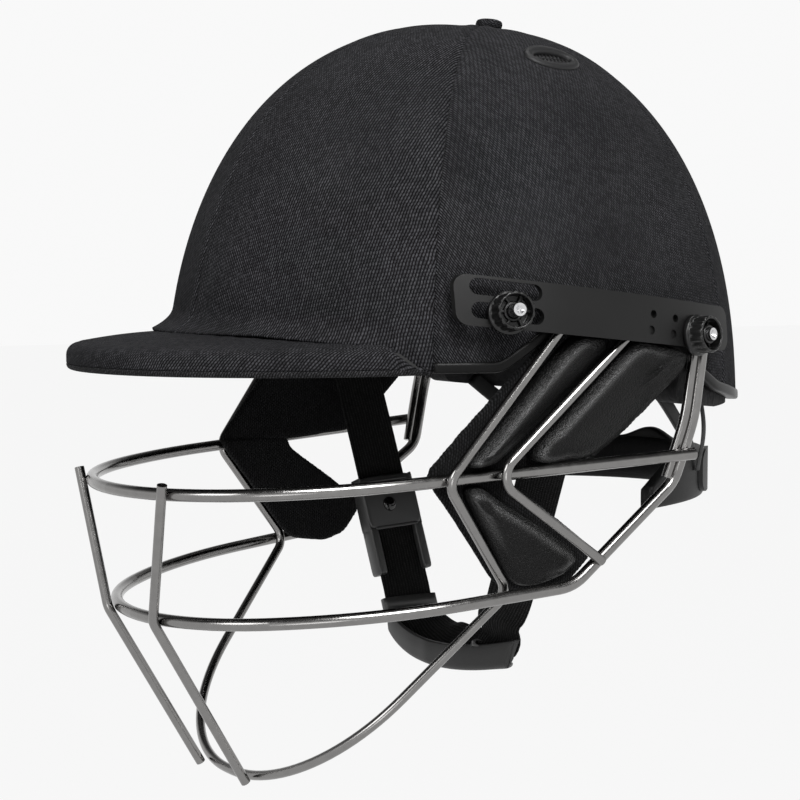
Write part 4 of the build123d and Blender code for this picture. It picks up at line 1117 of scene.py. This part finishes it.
# One moulded pillow. Its height rises steeply at the rim, rounds over at the ridge and falls from there
# to the far edge.
def cheekPillow(part, side):
    pillow = cheek["pillows"][part]
    outline = roundedOutline(np.array(pillow["outline"]) * cheek["length"], cheek["pillowCorner"], 1.5)
    rings, depth, climb = pillowRings(outline)
    rows, count = rings.shape[:2]
    across = rings @ np.array(pillow["way"])
    ridge = across.min() + pillow["ridge"]
    tilt = np.clip((across - ridge) / (across.max() - ridge), 0, 1)
    height = pillow["tall"] * climb[:, None] * (1 - pillow["drop"] * tilt) / 1.05
    height = height - pillow["rim"] * np.clip((ridge - across) / pillow["ridge"], 0, 1) ** 1.5
    points = cheekPoints(cheek["planes"][pillow["plane"]], rings, 0.15 + height)
    flat = clearOfRods(points.reshape(-1, 3), cheek["rodClearance"]) * np.array([side, 1, 1])
    word = sideWords[side]
    piece = makePiece("cheekPillow" + part.capitalize() + word.capitalize(), flat, tubeFaces(rows, count),
                      padSkin, "cheek_foam", nodes=["cheek_pillow_" + part + "_" + word])
    recalculated(piece)
    puff(piece, *cheek["puff"], np.arange(rows * count) < 4 * count)
    place, reach = cheek["ridgeShine"]
    shine = np.exp(-((depth - place) / reach) ** 2) * np.clip(1.4 - 2.2 * tilt, 0, 1)
    piece.data.attributes.new("ridge", "FLOAT", "POINT").data.foreach_set("value", shine.ravel())
    return piece


# A backing sheet: the outline with rounded edges, cut even and laid along its plane, then slightly uneven
def cheekSheet(part, side):
    word = sideWords[side]
    thick, soft = cheek["sheetThickness"], cheek["sheetSoftness"]
    rings = [(soft, 0.0), (soft * 0.3, -soft * 0.3), (0.0, -soft), (0.0, soft - thick),
             (soft * 0.3, soft * 0.3 - thick), (soft, -thick)]
    outline = roundedOutline(np.array(cheek["sheets"][part]) * cheek["length"], 3.0, 1.6)
    after = np.roll(outline, -1, 0)
    along = unit(after - np.roll(outline, 1, 0))
    area = (outline[:, 0] * after[:, 1] - outline[:, 1] * after[:, 0]).sum()
    inward = np.stack([-along[:, 1], along[:, 0]], 1) * np.sign(area)
    flat = np.stack([outline + inward * inset for inset, _ in rings])
    proud = np.array([rise for _, rise in rings])[:, None] + np.zeros(len(outline))
    points = cheekPoints(cheek["planes"][part], flat, proud) * np.array([side, 1, 1])
    piece = makePiece("cheekSheet" + part.capitalize() + word.capitalize(), points,
                      tubeFaces(len(rings), len(outline)), padKnit, "pad_cloth",
                      nodes=["cheek_sheet_" + word] if part == "upper" else [])
    recalculated(piece)
    addModifier(piece, "REMESH", mode="VOXEL", voxel_size=cheek["sheetVoxel"] * mm)
    applyModifiers(piece)
    spots = readPoints(piece)
    back, up = spots[:, 1], spots[:, 2]
    wave = np.sin(back * 0.11 + 0.6 * np.sin(up * 0.09)) * np.sin(up * 0.13 + 1.1)
    spots[:, 0] += side * cheek["sheetWave"] * wave
    writePoints(piece, spots)
    corners = np.empty(len(piece.data.loops), np.int32)
    piece.data.loops.foreach_get("vertex_index", corners)
    layer = piece.data.uv_layers.new(name="weave")
    layer.data.foreach_set("uv", spots[:, 1:][corners].ravel())
    piece.data.materials.clear()
    piece.data.materials.append(padKnit)
    return piece


for way in sideWords:
    for pillowName in cheek["pillows"]:
        cheekPillow(pillowName, way)
    for sheetName in cheek["sheets"]:
        cheekSheet(sheetName, way)
print("cheek pads made")


strap = {
    # corners in front view (out, up), and how far each one inside the line is rounded
    "path": [(93.7, 54.0), (93.7, 43.0), (70.5, -17.0), (48.5, -80.0), (42.5, -96.0), (30.0, -102.0),
             (-7.0, -104.5)],
    "rounding": (8.0, 20.0, 6.0, 6.0, 8.0),
    "back": -3.5,
    "lean": {1: -4.5, -1: 7.0},
    "leanTop": 40.0,
    "leanFall": 124.0,
    "curlStart": 46.0,
    "curlSpan": 40.0,
    "curlLevel": -79.0,
    "twistLevels": (74.0, 90.0),
    "twistNarrowing": 0.3,
    "twistInward": 4.5,
    "overlap": 0.9,
    "wallGap": 3.2,
    "twist": {1: 1.0, -1: 0.0},
    "tuck": {1: (84.0, 96.0), -1: (93.0, 103.0)},
    "width": 25.0,
    "thickness": 1.6,
}


# How far back a strap's middle is at a height
def strapBack(side, level):
    fallen = np.clip((strap["leanTop"] - level) / strap["leanFall"], 0, 1)
    return strap["back"] + strap["lean"][side] * fallen


# A strap's middle line in front view, eased at its corners. It leans as it falls, twists to lie along the
# cup's wall, and curls in under the chin, where its width turns to the slope (0.82 back, 0.57 up).
def strapLine(side):
    path = np.array(strap["path"])
    t = np.linspace(0, 1, 9)[:, None]
    runs = [path[:1]]
    for before, corner, after, reach in zip(path, path[1:], path[2:], strap["rounding"]):
        start = corner + unit(before - corner) * reach
        end = corner + unit(after - corner) * reach
        runs.append((1 - t) ** 2 * start + 2 * t * (1 - t) * corner + t ** 2 * end)
    runs.append(path[-1:])
    line = evenLine(np.vstack(runs), step=1.5)
    x, z = line[:, 0], line[:, 1]
    under = ease(strap["curlStart"] - x, 0.0, strap["curlSpan"]) * (z < strap["curlLevel"])
    twist = strap["twist"][side] * ease(-z, *strap["twistLevels"]) * (1 - under)
    way = np.stack([0.9 * twist, 1 - 0.65 * twist - 0.18 * under, 0.1 * twist + 0.57 * under], 1)
    way = unit(way)
    share = 1 - strap["twistNarrowing"] * twist
    half = strap["width"] / 2 * share
    x = x - strap["twistInward"] * twist
    clear = cupFront(x - half * way[:, 0]) + cup["wall"] + half * way[:, 1] + strap["wallGap"]
    lean = strapBack(side, z)
    back = lean + (clear - lean) * ease(-z, *strap["tuck"][side])
    flip = np.array([side, 1, 1])
    lift = strap["overlap"] * (side > 0) * ease(6 - x, 0.0, 6.0)
    return np.stack([x, back, z + lift], 1) * flip, way * flip, share


# Webbing: a flat rounded section carried along a strap's line, |cos|^p across and |sin|^q through
def webbingRun(side):
    line, wide, share = strapLine(side)
    turn = fullTurn(28)
    across = strap["width"] / 2 * squared(np.cos(turn), 0.45)
    through = strap["thickness"] / 2 * squared(np.sin(turn), 0.55)
    along = unit(np.gradient(line, axis=0))
    wide = unit(wide - along * (along * wide).sum(1, keepdims=True))
    proud = np.cross(along, wide)
    points = inFrame(line[:, None], wide[:, None], proud[:, None], across * share[:, None], through[None])
    run = np.concatenate([[0], np.cumsum(np.linalg.norm(np.diff(line, axis=0), axis=1))])
    coords = np.stack(np.broadcast_arrays(across[None, :], run[:, None]), -1)
    word = sideWords[side]
    piece = makePiece("strap" + word.capitalize(), points, tubeFaces(len(line), len(turn)), webbing,
                      "strap_webbing", body="chin_strap", nodes=["strap_" + word], coords=coords)
    return recalculated(piece)


cup = {
    "halfSpan": 51.0,
    "front": -15.2,
    "endFront": -5.2,
    "top": -99.9,
    "endTop": -92.4,
    "height": 11.3,
    "endCut": 5.0,
    "shelfCut": 26.0,
    "wall": 2.4,
    "depth": 25.0,
    "corner": 2.6,
    "bulge": 0.5,
}


# Outer face of the cup's wall, a parabola across the chin
def cupFront(x):
    return cup["front"] + (cup["endFront"] - cup["front"]) * np.clip(np.abs(x) / cup["halfSpan"], 0, 1) ** 2


for way in sideWords:
    webbingRun(way)


# The chin cup: an L section with a rounded outer corner, carried along a parabola that bows forwards and
# hangs down. The wall narrows to a point at its ends, and so does the shelf.
def chinCup():
    share = np.sin(np.linspace(-pi / 2, pi / 2, 97))
    x = cup["halfSpan"] * share
    y = cupFront(x)
    top = cup["top"] + (cup["endTop"] - cup["top"]) * share ** 2
    left = np.clip((cup["halfSpan"] - np.abs(x)) / cup["endCut"], 0.04, 1)
    tall = cup["height"] * left
    wall, corner = cup["wall"], cup["corner"]
    deep = wall + (cup["depth"] - wall) * ease(cup["halfSpan"] - np.abs(x), 0.0, cup["shelfCut"])
    bend = np.linspace(0, pi / 2, 6)
    # each corner of the section: share of the depth, plain distance back, share of the height, plain drop
    rows = [(0, wall * 0.5, 0, 0.0), (0, wall * 0.15, 0, -0.15), (0, -0.05, 0, -0.5), (0, -0.35, 0.5, 0.0)]
    rows += [(0, corner * (1 - cos(a)) - 0.2, 1, corner * (1 - sin(a))) for a in bend]
    rows += [(0.5, 0.6, 1, -0.3), (0.95, 0.2, 1, -0.2), (1, 0.0, 1, 0.3), (1, 0.1, 1, 1.2)]
    rows += [(0.95, 0.0, 1, 2.0), (0.5, 0.4, 1, 2.1), (0, wall + 1.6, 1, 2.3), (0, wall + 0.4, 1, 3.0)]
    rows += [(0, wall, 0.55, 0.0), (0, wall * 0.95, 0, -0.5), (0, wall * 0.8, 0, -0.1)]
    row = np.array(rows)
    back = row[:, 0][None] * (deep[:, None] - wall) + np.minimum(row[:, 1][None], deep[:, None])
    down = row[:, 2][None] * tall[:, None] - row[:, 3][None] * np.minimum(1, tall[:, None] / 6)
    swell = cup["bulge"] * np.exp(-((x[:, None] + 2) / 5.0) ** 2) * (row[:, 1] < 0.5)[None]
    points = np.stack([x[:, None] + 0 * back, y[:, None] + back - swell, top[:, None] - down], -1)
    return recalculated(makePiece("chinCup", points, tubeFaces(len(x), len(rows)), cupRubber, "cup_rubber",
                                  body="chin_strap", nodes=["chin_cup"]))


chinCup()


keeper = {
    "levels": {1: -99.0, -1: -90.5},
    "heights": {1: 4.0, -1: 6.0},
    "thickness": {1: 0.7, -1: 1.5},
    "clearance": 0.3,
}


# Flat rubber loops round the webbing near the cup: a squared ring, eased at its upper and lower edge
def strapKeepers():
    turn = fullTurn(40)
    a, b = squared(np.cos(turn), 0.3), squared(np.sin(turn), 0.4)
    loops = []
    for side in sideWords:
        line, wides, shares = strapLine(side)
        spot = np.argmin(np.abs(line[:, 2] - keeper["levels"][side]))
        along = unit(line[spot + 1] - line[spot - 1])
        wide = unit(wides[spot] - along * (wides[spot] @ along))
        proud = np.cross(along, wide)
        rings = []
        half, thick = keeper["heights"][side] / 2, keeper["thickness"][side]
        for grow, lift in ((0.0, -half), (1.0, -half + 0.3), (1.0, half - 0.3), (0.0, half)):
            room = keeper["clearance"] + grow * thick
            outer = strap["width"] / 2 * shares[spot] + room, strap["thickness"] / 2 + room
            rings.append(inFrame(line[spot] + along * lift, wide, proud, a * outer[0], b * outer[1]))
        loops.append((np.vstack(rings), gridFaces(len(rings), len(turn), closed=True, wrapped=True)))
    return recalculated(makePiece("strapKeepers", *joinedBodies(loops), buckleBlack, "buckle_plastic",
                                  body="chin_strap", nodes=["strap_keepers"]))


strapKeepers()


buckle = {
    "level": -56.0,
    "halfWidth": 14.6,
    "length": 46.0,
    "thickness": 8.4,
    "mouth": 10.0,
    "mouthLength": 21.0,
    "button": (1.5, 9.0),
    # radius, and height over the housing's face
    "buttonSection": [(3.4, -2.0), (3.4, 0.1), (3.3, 0.5), (2.9, 1.0), (2.2, 1.4), (1.3, 1.62), (0.3, 1.7)],
}


# The buckle's frame: its middle on the right strap, its face towards the chin, and the way up the strap
def buckleFrame():
    upper, lower = np.array(strap["path"][2]), np.array(strap["path"][3])
    share = (upper[1] - buckle["level"]) / (upper[1] - lower[1])
    x, z = upper + (lower - upper) * share
    middle = np.array([-x, strapBack(-1, z), z])
    higher = np.array([-upper[0], strapBack(-1, upper[1]), upper[1]])
    upward = unit(higher - middle)
    ahead = np.array([0.0, -1.0, 0.0])
    ahead = unit(ahead - upward * (ahead @ upward))
    proud = np.cross(upward, ahead)
    proud = proud * np.sign(proud[0])
    return middle, ahead, upward, proud


# A rounded box in the buckle's frame: a superellipse outline |a|^8 + |b|^8 = 1, with eased top and bottom
# edges
def buckleBox(ahead, upward, low, high, easing):
    turn = fullTurn(48)
    a, b = (ahead[1] - ahead[0]) / 2, (upward[1] - upward[0]) / 2
    mid = (ahead[0] + ahead[1]) / 2, (upward[0] + upward[1]) / 2
    shape = np.stack([squared(np.cos(turn), 0.25), squared(np.sin(turn), 0.25)], 1)
    part = 0.3 * easing
    rings = []
    for grow, rise in ((-easing, low), (-part, low + part), (0, low + easing), (0, high - easing),
                       (-part, high - part), (-easing, high)):
        rings.append(np.column_stack([shape * (a + grow, b + grow) + mid, np.full(len(turn), rise)]))
    return np.vstack(rings), tubeFaces(len(rings), len(turn))


# The housing: a body across the upper part, two side rails down to the mouth, a plate behind, and small ribs
def buckleHousing():
    half, long, wide = buckle["thickness"] / 2, buckle["length"] / 2, buckle["halfWidth"]
    gap = strap["thickness"] / 2 + 0.2
    mouth, foot = buckle["mouth"], buckle["mouthLength"] - long
    boxes = [((-wide, wide), (foot, long), gap, half, 1.0), ((-wide, wide), (-long, long), -half, -gap, 1.0),
             ((-wide, -mouth), (-long, foot + 1.5), -half, half - 0.3, 1.1),
             ((mouth, wide), (-long, foot + 1.5), -half, half - 0.3, 1.1),
             ((-wide, 1.0 - wide), (foot, long), -half, half - 0.6, 0.4),
             ((wide - 1.0, wide), (foot, long), -half, half - 0.6, 0.4),
             ((-wide + 3.0, wide - 3.0), (foot - 0.2, foot + 1.2), half - 0.5, half + 0.35, 0.3),
             ((-wide + 4.0, wide - 4.0), (long - 5.2, long - 3.8), half - 0.5, half + 0.4, 0.3),
             ((-wide + 4.0, wide - 4.0), (long - 2.9, long - 1.9), half - 0.5, half + 0.3, 0.3)]
    middle, ahead, upward, proud = buckleFrame()
    points, faces = joinedBodies([buckleBox(*box) for box in boxes])
    points = inFrame(middle, ahead, upward, points[:, 0], points[:, 1]) + points[:, 2:] * proud
    return recalculated(makePiece("buckleHousing", points, faces, buckleBlack, "buckle_plastic",
                                  body="chin_strap", nodes=["buckle_housing"]))


# The release button: a low dome turned about the housing's face
def releaseButton():
    middle, ahead, upward, proud = buckleFrame()
    turn = fullTurn(40)
    section = np.array(buckle["buttonSection"])
    across, along = buckle["button"]
    spot = middle + across * ahead + along * upward + buckle["thickness"] / 2 * proud
    points = inFrame(spot, ahead, upward, section[:, :1] * np.cos(turn), section[:, :1] * np.sin(turn))
    points = points + section[:, 1][:, None, None] * proud
    return recalculated(makePiece("releaseButton", points, tubeFaces(len(section), len(turn)), buttonGloss,
                                  "buckle_plastic", body="release_button", nodes=["release_button"]))


buckleHousing()
releaseButton()
finishNode(napeRubber, "nape_clips")
print("chin strap made")


inside = {
    "inset": 18.7,
    "gap": 0.3,
    "puff": (2.0, 0.25),
    "crown": {"radius": 41.5, "thickness": 6.8, "size": (83, 83), "channels": (-0.33, 0.33)},
    "side": {"back": (-18.0, 62.0), "levels": (62.0, 112.0), "thickness": 6.8, "size": (80, 50),
             "channels": (0.0,)},
    "rear": {"halfSpan": 48.0, "levels": (16.0, 84.0), "thickness": 6.8, "size": (104, 68),
             "channels": (-0.4, 0.4)},
    "band": {"rear": -24.0, "levels": (48.0, 74.0), "thickness": 3.9, "size": (240, 26), "channels": ()},
}


# A pad between two skins: u and v run from -1 to 1, corners are drawn in, and the thickness falls off at
# the rim as (1 - |u|^6)^0.5 (1 - |v|^6)^0.5. spot(u, v, depth) gives the place on the liner.
def linedPad(name, node, spot, pad):
    rows, columns = (max(10, int(long / 2.5)) for long in pad["size"][::-1])
    u, v = np.meshgrid(*(np.sin(np.linspace(-pi / 2, pi / 2, count)) for count in (columns, rows)))
    drawn = u * np.sqrt(1 - 0.18 * v ** 6), v * np.sqrt(1 - 0.18 * u ** 6)
    swell = np.sqrt(np.clip(1 - u ** 6, 0, 1) * np.clip(1 - v ** 6, 0, 1))
    for at in pad["channels"]:
        swell *= 1 - 0.5 * np.exp(-((u - at) / 0.045) ** 2)
    near = spot(*drawn, 0 * u)
    far = spot(*drawn, pad["thickness"] * (0.12 + 0.88 * swell))
    faces = gridFaces(rows, columns)
    total = rows * columns
    index = np.arange(total).reshape(rows, columns)
    rim = np.concatenate([index[0], index[1:, -1], index[-1, -2::-1], index[-2:0:-1, 0]])
    after = np.roll(rim, -1)
    wall = np.stack([rim, after, after + total, rim + total], 1)
    faces = np.vstack([faces, faces[:, ::-1] + total, wall])
    coords = np.stack([u * pad["size"][0] / 2, v * pad["size"][1] / 2], -1)
    piece = makePiece(name, np.stack([near, far]), faces, padKnit, "pad_cloth", nodes=[node],
                      coords=np.stack([coords, coords]))
    recalculated(piece)
    held = np.zeros(2 * total, bool)
    held[:total] = True
    held[rim + total] = True
    puff(piece, *inside["puff"], held)
    return piece


# Places on the liner's inner face for a wall pad, by plan angle and height
def wallSpot(angles, levels):
    def spot(u, v, depth):
        angle, level = np.interp(u, (-1, 1), angles), np.interp(v, (-1, 1), levels)
        point = wallPoint(angle, level, inside["inset"] + inside["gap"])
        return point - domeNormal(point, inside["inset"]) * depth[..., None]
    return spot


# Places on the liner's inner face for the crown pad: a square drawn round as u (1 - v^2 / 2)^0.5
def crownSpot(u, v, depth):
    radius = inside["crown"]["radius"]
    x = radius * u * np.sqrt(1 - v * v / 2)
    y = radius * v * np.sqrt(1 - u * u / 2)
    point = ontoDome(np.stack([x, y, 0 * x + 140.0], -1), (0, 0, 1), inside["inset"] + inside["gap"])
    return point - domeNormal(point, inside["inset"]) * depth[..., None]


# The plan angle of the liner's inner face at a distance back and a height
def planAngle(y, z):
    length = (shellForm["halfLength"] - inside["inset"]) * planShare(z, inside["inset"])
    return np.arccos(np.clip(-y / length, -1, 1))


linedPad("crownPad", "crown_pad", crownSpot, inside["crown"])
sideMiddle = np.mean(inside["side"]["levels"])
sideAngles = [planAngle(y, sideMiddle) for y in inside["side"]["back"]]
for way, word in sideWords.items():
    sidePlace = wallSpot([angle * way for angle in sideAngles], inside["side"]["levels"])
    linedPad("sidePad" + word.capitalize(), "side_pad_" + word, sidePlace, inside["side"])
rearHalf = np.arcsin(inside["rear"]["halfSpan"] / ((shellForm["halfWidth"] - inside["inset"]) * 0.97))
rearPlace = wallSpot((pi - rearHalf, pi + rearHalf), inside["rear"]["levels"])
linedPad("rearPad", "rear_pad", rearPlace, inside["rear"])
bandEnd = planAngle(inside["band"]["rear"], np.mean(inside["band"]["levels"]))
linedPad("sweatband", "sweatband", wallSpot((-bandEnd, bandEnd), inside["band"]["levels"]), inside["band"])


nape = {
    "halfWidth": 82.0,
    "reach": 124.0,
    "thickness": 5.0,
    "gap": 0.3,
    "pad": {"front": 74.0, "levels": (-35.5, -17.5), "thickness": 3.88, "size": (260, 18), "channels": ()},
    "bandLevels": (-38.0, -17.3),
    "bandFront": 48.0,
    "bump": (4.8, 17.0, -12.0),
    "endLevel": -29.0,
    "endSlope": 0.62,
    "elastic": {"back": 87.5, "levels": (12.0, -25.0), "outset": 1.1, "bow": 3.2, "halfWidth": 2.1,
                "halfThickness": 0.75, "outward": (0.86, 0.5, 0.0)},
    "arm": {"back": (90.0, 57.0), "levels": (-19.0, 10.0), "halfWidth": 3.4, "halfThickness": 1.3},
}


# A place on the band's oval, part way through its thickness, by how far back it is
def napeOval(back, depth):
    width, reach = nape["halfWidth"] - depth, nape["reach"] - depth
    return width * np.sqrt(np.clip(1 - (back / reach) ** 2, 0, 1))


# A strip as one closed body, from a grid of points whose rows are rings
def stripBody(points):
    return points.reshape(-1, 3), tubeFaces(*points.shape[:2])


# The nape band: a rounded section round the oval, with a low bump (1 + cos)/2 at the rear and ends that
# slope down, and a narrow arm on each side that climbs to the liner
def napeBand():
    end = np.arccos(nape["bandFront"] / nape["reach"])
    angle = np.linspace(-end, end, 161)
    turn = fullTurn(32)
    through = 0.5 + 0.5 * squared(np.cos(turn), 0.5)
    upward = squared(np.sin(turn), 0.2)
    x, y = nape["halfWidth"] * np.sin(angle), nape["reach"] * np.cos(angle)
    rise, reach, place = nape["bump"]
    low, high = nape["bandLevels"]
    top = high + rise * (0.5 + 0.5 * np.cos(pi * np.clip(np.abs(x - place) / reach, 0, 1)))
    top = np.minimum(top, nape["endLevel"] + (y - nape["bandFront"]) * nape["endSlope"])
    share = 1 - nape["thickness"] * through[None, :] / np.hypot(x, y)[:, None]
    z = (top + low)[:, None] / 2 + (top - low)[:, None] / 2 * upward[None, :]
    bodies = [stripBody(np.stack([x[:, None] * share, y[:, None] * share, z], -1))]

    arm = nape["arm"]
    back, level = np.linspace(*arm["back"], 25)[:, None], np.linspace(*arm["levels"], 25)[:, None]
    slope = unit(np.array([arm["levels"][1] - arm["levels"][0], arm["back"][0] - arm["back"][1]]))
    thick, wide = np.cos(turn)[None] * arm["halfThickness"], upward[None] * arm["halfWidth"]
    y, z = back + wide * slope[0], level + wide * slope[1]
    x = napeOval(y, nape["thickness"] / 2 + thick)
    bodies += [stripBody(np.stack([x * side, y, z], -1)) for side in sideWords]
    return recalculated(makePiece("napeBand", *joinedBodies(bodies), napeRubber, "nape_rubber",
                                  nodes=["nape_band"]))


napeBand()


# Flat elastic on each side, bowed from the liner down over the band's outer face
def elasticCords():
    elastic = nape["elastic"]
    turn = fullTurn(24)
    t = np.linspace(0, 1, 30)
    outset = elastic["outset"] + elastic["bow"] * np.sin(pi * t) ** 1.3
    y = np.full(30, elastic["back"])
    line = np.stack([napeOval(y, -outset), y, np.interp(t, (0, 1), elastic["levels"])], 1)
    outward = np.array(elastic["outward"])
    wide = unit(np.cross(unit(np.gradient(line, axis=0)), outward))
    a, b = np.cos(turn)[None] * elastic["halfWidth"], np.sin(turn)[None] * elastic["halfThickness"]
    strip = inFrame(line[:, None], wide[:, None], outward, a, b)
    bodies = [stripBody(strip * np.array([side, 1, 1])) for side in sideWords]
    return recalculated(makePiece("elasticCords", *joinedBodies(bodies), cordBlack, "strap_webbing",
                                  nodes=["elastic_cords"]))


elasticCords()


# The pad inside the nape band follows the band's oval
def napeSpot(u, v, depth):
    inset = nape["thickness"] + nape["gap"]
    width, reach = nape["halfWidth"] - inset, nape["reach"] - inset
    angle = np.arccos(nape["pad"]["front"] / reach) * u
    z = np.interp(v, (-1, 1), nape["pad"]["levels"])
    share = 1 - depth / np.hypot(width * np.sin(angle), reach * np.cos(angle))
    return np.stack([width * np.sin(angle) * share, reach * np.cos(angle) * share, z], -1)


linedPad("napePad", "nape_pad", napeSpot, nape["pad"])
print("inner pads made")
